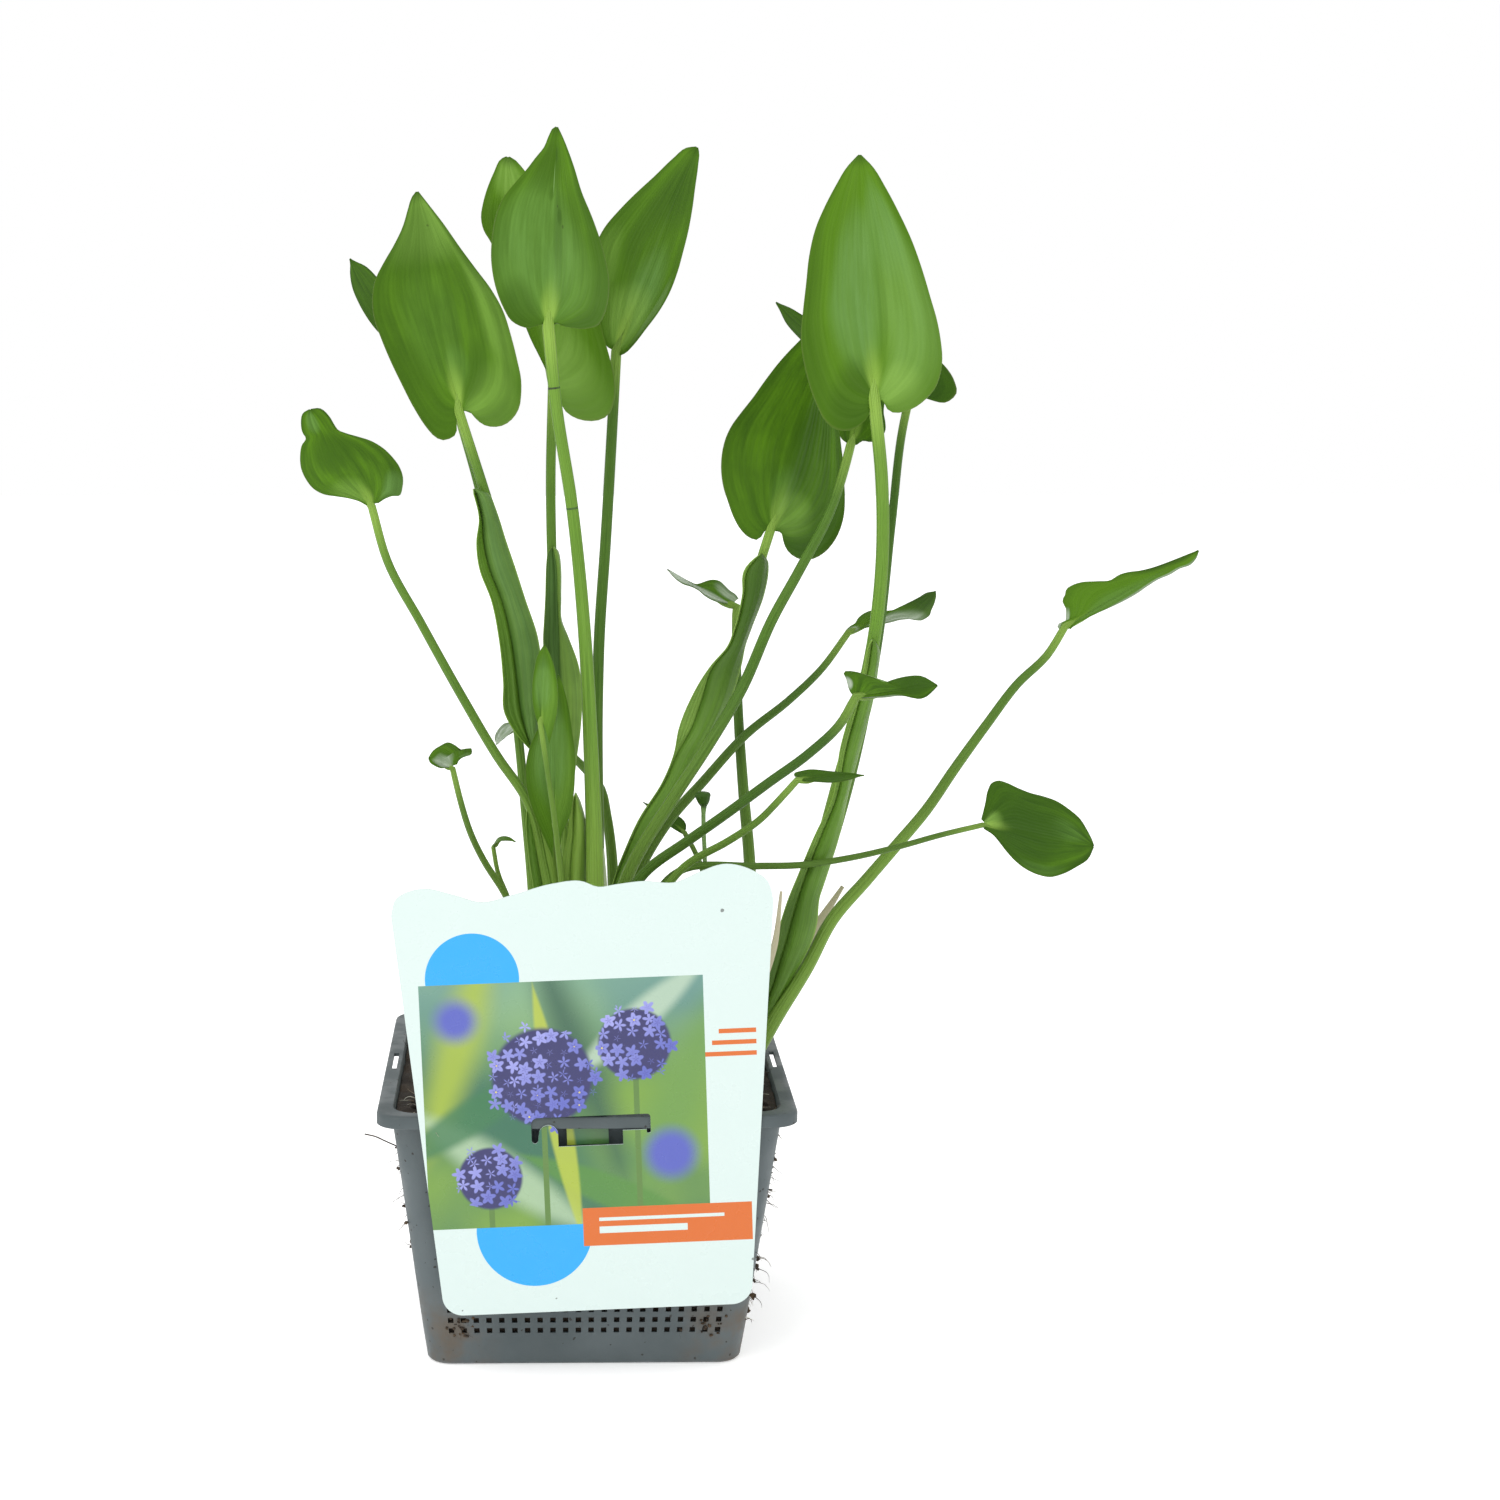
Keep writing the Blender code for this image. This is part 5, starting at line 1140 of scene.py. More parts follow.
def stalk_shape(leaf, path, marks, blade_path):
    """(points, faces, UVs) of the stalk, which runs on behind the blade as a rib that fades out."""
    joint = marks[-1]
    radii = [stalk_radius(leaf, mark / joint) for mark in marks]
    length, place = blade_frame(leaf, blade_base(leaf, blade_path))
    side = place.to_3x3() @ Vector((1, 0, 0))
    for step in range(1, RIB_STEPS + 1):
        share = RIB_SHARE * step / RIB_STEPS
        here = blade_point(leaf, place, length, 0.0, share)
        ahead = blade_point(leaf, place, length, 0.0, share + 0.01)
        normal = side.cross((ahead - here).normalized())
        radius = leaf.thick[1] / 2 * (1 - step / (RIB_STEPS + 1)) ** 0.8
        sunk = min(1.0, share / RIB_SINKS) * (radius - RIB_SHOWS)
        path.append(here - normal * sunk)
        radii.append(radius)
    return tube(path, radii, STALK_SIDES, ridges=0.03, origin=joint)


def make_leaf(leaf):
    """One leaf as one piece: its blade and the stalk that carries it."""
    blade_path = smooth_path(leaf.route, 4.0)
    parts = Parts()
    parts.join(*blade_shape(leaf, blade_path))
    path, marks, scars = marked_path(leaf)
    points, faces, uvs = stalk_shape(leaf, path, marks, blade_path)
    rings = [3 if ring in scars else 2 for ring in range(len(path) - 1)]
    slots = [2, 2] + [slot for slot in rings for _ in range(STALK_SIDES)]
    parts.join(points, faces, uvs, slots)
    blade = blade_finish(leaf.tone or leaf.name)
    finishes = [blade, underside_finish(), stalk_finish(leaf.stem), scar_finish()]
    ride(parts.make(f"leaf_{leaf.name}", finishes), "leaf", f"blade_{leaf.name}", f"stalk_{leaf.name}")


# Sheaths

SHEATH_THICK = 0.7
SHEATH_COLUMNS = 56
SHEATH_STEP = 2.0
SHEATH_ROUND = 4.0
RIB_DEPTH = 0.12
CREASE_SPREAD = 0.35  # how far the crease's hollow reaches into each half
SHEATH_RIPPLE = 0.25


def sheath_rows(sheath):
    """(height, left edge, crease, right edge) at even steps up the sheath, drawn in at its round ends."""
    heights = [float(row[0]) for row in sheath.rows]
    knots = [Vector(row[1:]) for row in sheath.rows]
    slopes = [path_slope(knots, heights, index) for index in range(len(knots))]
    low, high = heights[0], heights[-1]
    count = round((high - low) / SHEATH_STEP)
    rows = []
    for step in range(count + 1):
        height = low + (high - low) * step / count
        left, crease, right = path_point(knots, heights, slopes, height)
        away = max(0.0, 1 - (high - height) / SHEATH_ROUND)
        keep = sqrt(max(0.04, 1 - away**2))
        rows.append((height, crease + (left - crease) * keep, crease, crease + (right - crease) * keep))
    return rows


def make_sheath(sheath):
    """One sheath as a thin closed sheet that stands before its stalk and wraps round its right side."""
    host = next(leaf for leaf in LEAVES if leaf.name == sheath.host)
    stalk = smooth_path(host.route, 1.0)
    heights = [point.z for point in stalk]
    rows = sheath_rows(sheath)
    grid = np.empty((len(rows), SHEATH_COLUMNS + 1, 3))
    uv_grid = np.empty((len(rows), SHEATH_COLUMNS + 1, 2))
    for row, (height, left, crease, right) in enumerate(rows):
        share = float(np.interp(height, heights, np.linspace(0, 1, len(heights))))
        centre_y = float(np.interp(height, heights, [point.y for point in stalk]))
        body_y = centre_y + sheath.depth - stalk_radius(host, share) - GAP - SHEATH_THICK / 2 - sheath.sunk
        for column in range(SHEATH_COLUMNS + 1):
            v = 2 * column / SHEATH_COLUMNS - 1
            x = crease + (right - crease) * v if v > 0 else crease + (crease - left) * v
            valley = sheath.sunk * max(0.0, 1 - abs(v) / CREASE_SPREAD) ** 2
            if v > 0:
                y = body_y + valley - sheath.crown * sin(pi * min(1.0, v)) + sheath.wrap * v**3
            else:
                y = body_y + valley - sheath.flap * v * v
            y -= RIB_DEPTH * cos(tau * sheath.ribs * (v + 1) / 2)
            y -= SHEATH_RIPPLE * v * v * sin(height / 6 + 2 * v)
            grid[row, column] = x, y, height
            uv_grid[row, column] = (v + 1) / 2, height / 100
    across = np.abs(uv_grid[..., 0] * 2 - 1)
    parts = Parts()
    parts.join(*sheet(grid, SHEATH_THICK * (1 - 0.6 * across**4), uv_grid, slots=(0, 0)))
    piece = parts.make(f"sheath_piece_{sheath.name}", [sheath_finish(sheath)])
    ride(piece, "sheath", *(() if sheath.base else (f"sheath_{sheath.name}",)))


# Husks, shoot and bud


def make_sprig(sprig):
    """A husk, the young shoot or the bud as one round or flattened tube of changing thickness."""
    path = smooth_path(sprig.route, sprig.step)
    marks, _ = measured([Vector(point) for point in sprig.route])
    widths = np.interp(np.linspace(0, marks[-1], len(path)), marks, sprig.widths)
    radii = [max(LEAST_HALF, width / 2) for width in widths]
    points, faces, uvs = tube(path, radii, STALK_SIDES, ridges=0.05, flat=sprig.flat)
    material = {"husk": husk_finish, "shoot": shoot_finish, "bud": bud_finish}[sprig.finish]()
    parts = Parts()
    parts.join(points, faces, uvs, [0] * len(faces))
    ride(parts.make(f"{sprig.name}_piece", [material]), sprig.slot, sprig.name)


# Basket

WALL = 1.5
CORNER = 11.0
RIM_CORNER = 11.0
CORNER_STEPS = 8
HOLE_COLUMNS = 22
HOLE_ROWS = 18
PITCH_LOW = 5.4
PITCH_HIGH = 6.3
ROW_LOW = 16.8
ROW_PITCH = 4.95
LIP_DROP = 5.5
RIM_THICK = 1.5
SLOT_HALF = 13.0
SLOT_FROM = 85.0
SLOT_TO = 87.3
SLOT_NEAR = 11.5  # edges of holes from here to SLOT_FAR along the rim move to the slot's ends
SLOT_FAR = 15.6
SLOT_COLUMNS = (18, 27)  # the columns of points at the slot's ends
STRETCH = 1.012  # the basket is this much wider than it is deep
FOOT_SHIFT = 1.2  # and its foot stands this far left of its rim


def wall_at(level):
    """Half the basket's outer width at a height."""
    look = settings().basket
    return (look.base_half + (look.top_half - look.base_half) * level * MM / look.height) / MM


def leaning(points):
    """Points of a square basket as the real one stands, a little wide and with its foot to the left."""
    height = settings().basket.height / MM
    return [Vector((p[0] * STRETCH - FOOT_SHIFT * max(0.0, 1 - p[2] / height), p[1], p[2])) for p in points]


def square_ring(half, corner, height, offsets):
    """One level of a square with round corners: `offsets` are the places along each flat side."""
    ring = []
    for quarter in range(4):
        turn = Matrix.Rotation(quarter * pi / 2, 3, "Z")
        flat = [Vector((x, -half, height)) for x in offsets]
        centre = Vector((half - corner, corner - half, height))
        for step in range(1, CORNER_STEPS):
            angle = -pi / 2 + pi / 2 * step / CORNER_STEPS
            flat.append(centre + Vector((cos(angle), sin(angle), 0)) * corner)
        ring += [turn @ point for point in flat]
    return ring


def make_basket():
    """The basket as one closed shell whose walls are pierced by rows of square holes."""
    look = settings().basket
    height, base, top = look.height / MM, look.base_half / MM, look.top_half / MM
    rim, hole = look.rim_half / MM, look.hole / MM / 2

    def level_ring(level, half, corner, slotted=False):
        pitch = PITCH_LOW + (PITCH_HIGH - PITCH_LOW) * level / height
        row = []
        for column in range(HOLE_COLUMNS):
            centre = (column - (HOLE_COLUMNS - 1) / 2) * pitch
            row += [centre - hole, centre + hole]
        if slotted:
            row = [SLOT_HALF * np.sign(x) if SLOT_NEAR < abs(x) < SLOT_FAR else x for x in row]
        return square_ring(half, corner, level, [corner - half, *row, half - corner])

    levels = []
    for row in range(HOLE_ROWS):
        centre = ROW_LOW + row * ROW_PITCH
        levels += [centre - hole, centre + hole]
    under, lip = height - RIM_THICK, height - LIP_DROP
    foot = [(0, base - 2.5, CORNER - 2), (0.4, base - 1.0, CORNER - 1), (1.4, wall_at(1.4) - 0.2, CORNER)]
    outside = [(level, wall_at(level), CORNER) for level in levels]
    shelf = [(under - 1, wall_at(under), CORNER), (under, wall_at(under) + 0.6, CORNER)]
    rim_edge = [
        (under, rim - WALL, RIM_CORNER - WALL), (lip, rim - WALL, RIM_CORNER - WALL),
        (lip, rim - 0.3, RIM_CORNER), (lip + 0.3, rim, RIM_CORNER),
        (height - 1.2, rim, RIM_CORNER), (height - 0.5, rim - 0.3, RIM_CORNER),
        (height - 0.05, rim - 1.1, RIM_CORNER - 1),
    ]
    mouth = [(height - 0.1, top - WALL + 0.5, CORNER), (height - 0.8, top - WALL, CORNER)]
    inside = [(level, wall_at(level) - WALL, CORNER - WALL) for level in reversed(levels)]
    floor = [(WALL + 1, wall_at(WALL) - WALL - 0.3, CORNER - WALL),
             (WALL, wall_at(WALL) - WALL - 1.3, CORNER - WALL)]
    first_outer = len(foot)
    rings = [level_ring(*ring) for ring in foot + outside + shelf]
    slot_under = len(rings)
    rings += [level_ring(under, reach, CORNER, True) for reach in (SLOT_FROM, SLOT_TO)]
    rings += [level_ring(*ring) for ring in rim_edge]
    slot_top = len(rings)
    rings += [level_ring(height, reach, CORNER, True) for reach in (SLOT_TO, SLOT_FROM)]
    rings += [level_ring(*ring) for ring in mouth]
    first_inner = len(rings)
    rings += [level_ring(*ring) for ring in inside + floor]
    count = len(rings[0])
    points = [point for ring in rings for point in ring]
    side = count // 4
    holes = {}
    for row in range(HOLE_ROWS):
        for quarter in range(4):
            for column in range(HOLE_COLUMNS):
                outer = (first_outer + 2 * row, quarter * side + 1 + 2 * column)
                inner = (first_inner + 2 * (HOLE_ROWS - 1 - row), outer[1])
                holes[outer] = inner
    slot_from, slot_to = SLOT_COLUMNS
    for quarter in range(4):
        for column in range(slot_from, slot_to):
            holes[slot_under, quarter * side + column] = slot_top, quarter * side + column
    skipped = set(holes) | set(holes.values())
    faces = [tuple(range(count))[::-1], tuple(range(len(points) - count, len(points)))]
    faces += ring_faces(len(rings), count, skipped)
    for (outer, column), (inner, _) in holes.items():
        low, high = outer * count, (outer + 1) * count
        far_high, far_low = inner * count, (inner + 1) * count
        a, b = column, column + 1
        in_rim = outer == slot_under
        faces.append((low + b, low + a, far_low + a, far_low + b))
        faces.append((high + a, high + b, far_high + b, far_high + a))
        if not in_rim or (a - slot_from) % side == 0:
            faces.append((low + a, high + a, far_high + a, far_low + a))
        if not in_rim or (b - slot_to) % side == 0:
            faces.append((high + b, low + b, far_low + b, far_high + b))
    piece = mesh_object("basket", leaning(points), faces, [basket_finish()], sharp=32.0)
    ride(piece, "pot", "pot")


def basket_finish():
    """Grey moulded plastic, paler where rubbed, painted shade on the rim's top, soiled towards the foot."""

    def build(nodes):
        look, peat = settings().basket, settings().peat
        place = nodes.place()
        side, _, height = nodes.split(place)
        patches = nodes.mottling(22.0)
        fine = nodes.noise(place, 900.0, 2.0)
        colour = nodes.tint(look.colour, look.worn, patches, 0.3)
        # painted shade: the rim's upper side turned towards the darker `shaded` colour
        top = nodes.times(nodes.range(height, 0.112, 0.1195), 0.3)
        colour = nodes.mix(top, colour, look.shaded)
        smears = nodes.mottling(60.0)
        beside = nodes.math("ABSOLUTE", side)
        low = nodes.times(nodes.range(height, 0.042, 0.018), nodes.range(beside, 0.035, 0.055))
        dust = nodes.times(smears, nodes.times(low, 0.5))
        colour = nodes.mix(dust, colour, peat.light)
        spots = nodes.specks(210.0, 0.22)
        colour = nodes.tint(colour, peat.dark, spots, 0.75)
        nodes.surface(colour, nodes.bump(fine, 0.00006), nodes.range(smears, 0.0, 1.0, 0.40, 0.62))

    return finish("basket plastic", build, 0.48, Specular_IOR_Level=0.35)


# Peat

PEAT_TOP = 104.0
PEAT_DOME = 3.0
PEAT_COLUMNS = 26
PEAT_RINGS = 34
PEAT_ROUGHNESS = ((1.6, 0.05, 0), (1.3, 0.17, 7), (0.7, 0.6, 3))  # rise, fineness and place in the noise
SIDE_RISE = 13.0  # how much higher the peat is piled beside the basket's walls
SIDE_FROM = 50.0  # where it starts to rise, and over what width
SIDE_WIDTH = 26.0
# Each heap beside the rim: its x and y, its spread and its height.
MOUNDS = ((76.0, -28.0, 24.0, 15.0), (-74.0, -50.0, 26.0, 8.0), (-76.0, 30.0, 24.0, 9.0),
          (74.0, -54.0, 24.0, 8.0))


def peat_height(x, y):
    """The level of the peat's surface, uneven and heaped up beside the rim."""
    reach = wall_at(PEAT_TOP)
    dome = PEAT_DOME * (1 - min(1.0, (x * x + y * y) / reach**2))
    rough = sum(rise * noise.noise(Vector((x, y, layer)) * fineness)
                for rise, fineness, layer in PEAT_ROUGHNESS)
    heap = max(tall * max(0.0, 1 - ((x - mid_x) ** 2 + (y - mid_y) ** 2) / spread**2) ** 0.7
               for mid_x, mid_y, spread, tall in MOUNDS)
    beside = min(1.0, max(0.0, (max(abs(x), abs(y)) - SIDE_FROM) / SIDE_WIDTH))
    heap = max(heap, SIDE_RISE * beside * beside * (3 - 2 * beside))
    return PEAT_TOP + dome + rough + heap


def make_peat():
    """The peat: an uneven top, and sides that show dark through the basket's holes."""
    clear = WALL + GAP
    edge = wall_at(PEAT_TOP + SIDE_RISE) - clear
    rings = []
    for level, half in ((WALL + GAP, wall_at(0) - clear), (PEAT_TOP - 3, wall_at(PEAT_TOP - 3) - clear)):
        flat = np.linspace(CORNER - half, half - CORNER, PEAT_COLUMNS)
        rings.append(square_ring(half, CORNER, level, flat))
    for index in range(PEAT_RINGS):
        half = edge * (1 - index / PEAT_RINGS)
        corner = min(CORNER, half)
        flat = np.linspace(corner - half, half - corner, PEAT_COLUMNS)
        ring = square_ring(half, corner, 0, flat)
        rings.append([Vector((p.x, p.y, peat_height(p.x, p.y))) for p in ring])
    count = len(rings[0])
    points = [point for ring in rings for point in ring] + [Vector((0, 0, peat_height(0, 0)))]
    faces = [tuple(range(count))[::-1]] + ring_faces(len(rings), count)
    last = (len(rings) - 1) * count
    faces += [(last + index, last + (index + 1) % count, len(points) - 1) for index in range(count)]
    ride(mesh_object("peat", leaning(points), faces, [peat_finish()], sharp=80.0), "soil", "soil")


def peat_finish():
    """Dark damp peat with paler dry fibres in it."""

    def build(nodes):
        look = settings().peat
        patches = nodes.mottling(90.0)
        fine = nodes.noise(nodes.place(), 700.0, 4.0, 0.7)
        colour = nodes.tint(look.dark, look.light, patches, 0.15)
        colour = nodes.mix(nodes.range(fine, 0.60, 0.78, 0.0, 0.4), colour, look.light)
        nodes.surface(colour, nodes.bump(fine, 0.0012))

    return finish("peat", build, 0.95)


def fibre_finish(pale):
    """Thin roots and peat fibres, dark or straw-coloured."""

    def build(nodes):
        look = settings().peat
        patches = nodes.mottling(160.0)
        ends = (look.light, settings().foliage.husk) if pale else (look.dark, look.light)
        colour = nodes.mix(nodes.times(patches, 0.6), *ends)
        nodes.surface(colour, nodes.bump(patches, 0.0001))

    return finish("pale fibre" if pale else "dark fibre", build, 0.85)


def crumb(rng, centre, size):
    """(points, faces, UVs, slots) of one lumpy crumb."""
    ball = bmesh.new()
    bmesh.ops.create_icosphere(ball, subdivisions=1, radius=1.0)
    turn = Matrix.Rotation(rng.uniform(0, tau), 3, Vector((rng.random(), rng.random(), 1)))
    stretch = Vector((rng.uniform(0.7, 1.4), rng.uniform(0.6, 1.1), rng.uniform(0.45, 0.9)))
    points = []
    for vertex in ball.verts:
        lump = vertex.co * (1 + rng.uniform(-0.22, 0.22))
        lump = Vector((lump.x * stretch.x, lump.y * stretch.y, lump.z * stretch.z))
        points.append(centre + turn @ lump * size)
    faces = [tuple(vertex.index for vertex in face.verts) for face in ball.faces]
    ball.free()
    return points, faces, [(0, 0)] * len(points), [0] * len(faces)


def make_crumbs():
    """Loose crumbs of peat on the surface, pressed into it a little."""
    rng = random.Random(11)
    parts = Parts()
    reach = wall_at(PEAT_TOP) - WALL - 3
    for _ in range(settings().peat.crumbs):
        x, y = rng.uniform(-reach, reach), rng.uniform(-reach, reach)
        size = rng.choice((0.7, 0.9, 1.2, 1.6, 2.2)) * rng.uniform(0.8, 1.2)
        parts.join(*crumb(rng, Vector((x, y, peat_height(x, y) + 0.1 * size)), size))
    ride(parts.make("peat_crumbs", [peat_finish()], sharp=80.0), "soil")


STRAND_STEPS = 9
STRAND_WANDER = 0.32


def strand(rng, start, heading, length, thick, droop):
    """(points, faces, UVs) of one thin fibre that wanders from its start and sinks by `droop`."""
    path, heading = [start.copy()], heading.normalized()
    for _ in range(STRAND_STEPS):
        wander = Vector((rng.uniform(-1, 1), rng.uniform(-1, 1), rng.uniform(-1, 1))) * STRAND_WANDER
        heading = (heading + wander + Vector((0, 0, -droop))).normalized()
        path.append(path[-1] + heading * length / STRAND_STEPS)
    radii = [thick / 2 * (1 - 0.75 * index / STRAND_STEPS) for index in range(STRAND_STEPS + 1)]
    return tube(path, radii, 4, across=(0.3, 0.9, 0.2))


def make_fibres():
    """Fibres that lie on the peat and in the heap beside the rim."""
    rng = random.Random(23)
    parts = Parts()
    reach = wall_at(PEAT_TOP) - WALL - 12
    for index in range(settings().peat.fibres):
        if index % 3:
            x, y = rng.uniform(-reach, reach), rng.uniform(-reach, reach)
        else:
            mound = MOUNDS[index % len(MOUNDS)]
            x, y = rng.gauss(mound[0], 5), rng.gauss(mound[1], 14)
        heading = Vector((rng.uniform(-1, 1), rng.uniform(-1, 1), rng.uniform(-0.1, 0.5)))
        x = max(-reach - 6, min(reach + 6, x))
        start = Vector((x, y, peat_height(x, y) - 0.3))
        points, faces, uvs = strand(rng, start, heading, rng.uniform(5, 14), rng.uniform(0.25, 0.6), 0.05)
        parts.join(points, faces, uvs, [index % 2] * len(faces))
    ride(parts.make("peat_fibres", [fibre_finish(False), fibre_finish(True)]), "soil")


SIDE_ROOTS = ((1, 20, 106, 46), (-1, 50, 106, 24))  # side of the basket, lowest, highest, number
WALL_ROOTS = (26, 42, 24, 42)  # finer roots through the front, right, back and left walls
OPEN_COLUMNS = (0, 1, 2, 18, 19, 20, 21)  # the front wall's columns of holes beside the card
STRAY_ROOT = ((-83, -70, 101), (-88, -75, 105), (-92, -77, 107.6), (-96.5, -78, 109))
CORNER_CLOTS = 16


def make_roots():
    """Root hairs that poke out through the basket's holes, and the clots of peat at its lower corners."""
    rng = random.Random(5)
    parts = Parts()
    for side, low, high, count in SIDE_ROOTS:
        for _ in range(count):
            level = rng.uniform(low, high)
            start = Vector((side * (wall_at(level) - WALL), rng.uniform(-72, -52), level))
            heading = Vector((side, rng.uniform(-0.2, 0.2), rng.uniform(-0.3, 0.5)))
            length = rng.choice((3, 4, 5, 6, 10)) * rng.uniform(0.8, 1.2)
            points, faces, uvs = strand(rng, start, heading, length, rng.uniform(0.3, 0.6), 0.15)
            parts.join(leaning(points), faces, uvs, [int(rng.random() < 0.2)] * len(faces))
            if rng.random() < 0.6:
                spot = start + Vector((side * (WALL + 0.4), 0, 0))
                points, *rest = crumb(rng, spot, rng.uniform(0.7, 1.6))
                parts.join(leaning(points), *rest)
    stray = smooth_path(STRAY_ROOT, 1.5)
    points, faces, uvs = tube(stray, [0.3] * len(stray), 6)
    parts.join(points, faces, uvs, [0] * len(faces))
    for quarter, count in enumerate(WALL_ROOTS):
        turn = Matrix.Rotation(quarter * pi / 2, 3, "Z")
        for _ in range(count):
            level = ROW_LOW + ROW_PITCH * rng.randrange(HOLE_ROWS - 1)
            pitch = PITCH_LOW + (PITCH_HIGH - PITCH_LOW) * level * MM / settings().basket.height
            column = rng.randrange(HOLE_COLUMNS) if quarter else rng.choice(OPEN_COLUMNS)
            x = (column - (HOLE_COLUMNS - 1) / 2) * pitch
            start = turn @ Vector((x, -wall_at(level) + WALL + 1, level))
            heading = turn @ Vector((rng.uniform(-0.5, 0.5), -1, rng.uniform(-0.3, 0.5)))
            length, thick = rng.choice((4, 5, 6, 9)) * rng.uniform(0.8, 1.2), rng.uniform(0.12, 0.35)
            points, faces, uvs = strand(rng, start, heading, length, thick, 0.12)
            parts.join(leaning(points), faces, uvs, [int(rng.random() < 0.25)] * len(faces))
            if rng.random() < 0.3:
                spot = turn @ Vector((x, -wall_at(level) - 0.1, level))
                parts.join(*crumb(rng, spot, rng.uniform(0.6, 1.3)))
    for sign in (-1, 1):
        for _ in range(CORNER_CLOTS):
            level = ROW_LOW + rng.uniform(-3, 7)
            spot = Vector((sign * rng.uniform(50, 62), -wall_at(level) - 0.1, level))
            parts.join(*crumb(rng, spot, rng.uniform(0.5, 1.2)))
    ride(parts.make("root_hairs", [fibre_finish(False), fibre_finish(True)]), "soil")


# Card

CARD_THICK = 0.8
CARD_TOP_HALF = 80.4
CARD_BOTTOM_HALF = 66.5
CARD_TOP = 91.0
CARD_BOTTOM = -91.0
CARD_CORNER = 9.0
CARD_CENTRE = (1.0, 124.6)
CARD_TURN = 2.2
# The wavy top edge from right to left: places across and their heights above CARD_TOP.
CARD_WAVE = ((81, -4.0), (79, 4.0), (72, 9.5), (61, 12.5), (50, 9.5), (40, 5.5), (26, 6.5), (14, 5.5),
             (7, 4.8), (0, 7.6), (-12, 7.0), (-28, 3.2), (-43, 0.3), (-54, 3.8), (-68, 7.0), (-79, 2.5),
             (-81, -4.0))
SLOT_HALF_WIDTH = 25.6
SLOT_BOTTOM = -17.2
SLOT_TOP = -4.0
SLOT_STEP = 13.6
BAND_BOTTOM = -11.0
TONGUE_LEFT = -22.4
TONGUE_HALF = 4.1
TONGUE_TOP = -7.4
TAB_LEFT = -10.5
TAB_RIGHT = 7.5
TAB_REACH = 14.0
TAB_DEPTH = 5.1
TAB_FRONT = 0.2
TAB_BEND = 1.6


def card_outline():
    """The card's edge in its own plane, anticlockwise from the bottom left corner."""
    slant = (CARD_TOP_HALF - CARD_BOTTOM_HALF) / (CARD_TOP - CARD_BOTTOM)
    points = []
    for sign, start in ((-1, 2), (1, 3)):
        centre = sign * (CARD_BOTTOM_HALF - CARD_CORNER + slant * CARD_CORNER)
        points += rounding(centre, CARD_BOTTOM + CARD_CORNER, CARD_CORNER, start, start + 1, 12)
    wave = smooth_path([(x, 0, CARD_TOP + rise) for x, rise in CARD_WAVE], 2.0)
    return points + [(point.x, point.z) for point in wave]


def rounding(x, z, radius, start, end, steps=6):
    """Points round a centre of the card's plane, from one angle to another in quarter turns."""
    angles = [pi / 2 * (start + (end - start) * step / steps) for step in range(steps + 1)]
    return [(x + radius * cos(angle), z + radius * sin(angle)) for angle in angles]


def slot_outline():
    """The die-cut window: a band across the rim, a deeper step below it and a tongue at the left."""
    side = SLOT_HALF_WIDTH
    points = [(SLOT_STEP, SLOT_BOTTOM), (SLOT_STEP, BAND_BOTTOM), (side - 1.8, BAND_BOTTOM)]
    points += rounding(side - 0.9, BAND_BOTTOM - 0.8, 0.9, 2, 4)
    points += rounding(side - 1.5, SLOT_TOP - 1.5, 1.5, 0, 1)
    points += rounding(2.8 - side, SLOT_TOP - 2.8, 2.8, 1, 2)
    points += rounding(1.4 - side, SLOT_BOTTOM + 3.2, 1.4, 2, 4)
    points += rounding(TONGUE_LEFT + TONGUE_HALF, TONGUE_TOP - TONGUE_HALF, TONGUE_HALF, 2, 0, 12)
    points.append((TONGUE_LEFT + 2 * TONGUE_HALF, SLOT_BOTTOM))
    return points


def card_shape():
    """(points, faces, slots) of the flat card: the printed front is slot 0 and the plain rest slot 1."""
    flat = bmesh.new()
    for outline in (card_outline(), slot_outline()):
        corners = [flat.verts.new((x, 0, z)) for x, z in outline]
        for first, second in zip(corners, corners[1:] + corners[:1]):
            flat.edges.new((first, second))
    bmesh.ops.triangle_fill(flat, use_beauty=True, edges=flat.edges)
    grown = bmesh.ops.extrude_face_region(flat, geom=flat.faces[:])
    moved = [item for item in grown["geom"] if isinstance(item, bmesh.types.BMVert)]
    bmesh.ops.translate(flat, verts=moved, vec=(0, CARD_THICK, 0))
    bmesh.ops.recalc_face_normals(flat, faces=flat.faces)
    flat.verts.ensure_lookup_table()
    points = [vertex.co.copy() for vertex in flat.verts]
    faces = [tuple(vertex.index for vertex in face.verts) for face in flat.faces]
    slots = [0 if face.normal.y < -0.5 else 1 for face in flat.faces]
    flat.free()
    return points, faces, slots


def tab_shape():
    """(points, faces, slots) of the strip that goes back over the rim and down through its slot."""
    level = SLOT_TOP + CARD_THICK / 2
    middle = [(TAB_FRONT, level), *rounding(TAB_DEPTH - TAB_BEND, level - TAB_BEND, TAB_BEND, 1, 0)]
    middle.append((TAB_DEPTH, SLOT_TOP - TAB_REACH))
    grid = np.array([[(x, y, z) for y, z in middle] for x in np.linspace(TAB_LEFT, TAB_RIGHT, 5)])
    uv_grid = grid[..., (0, 2)]
    points, faces, _, slots = sheet(grid, np.full(grid.shape[:2], CARD_THICK), uv_grid, slots=(0, 1))
    return points, faces, slots


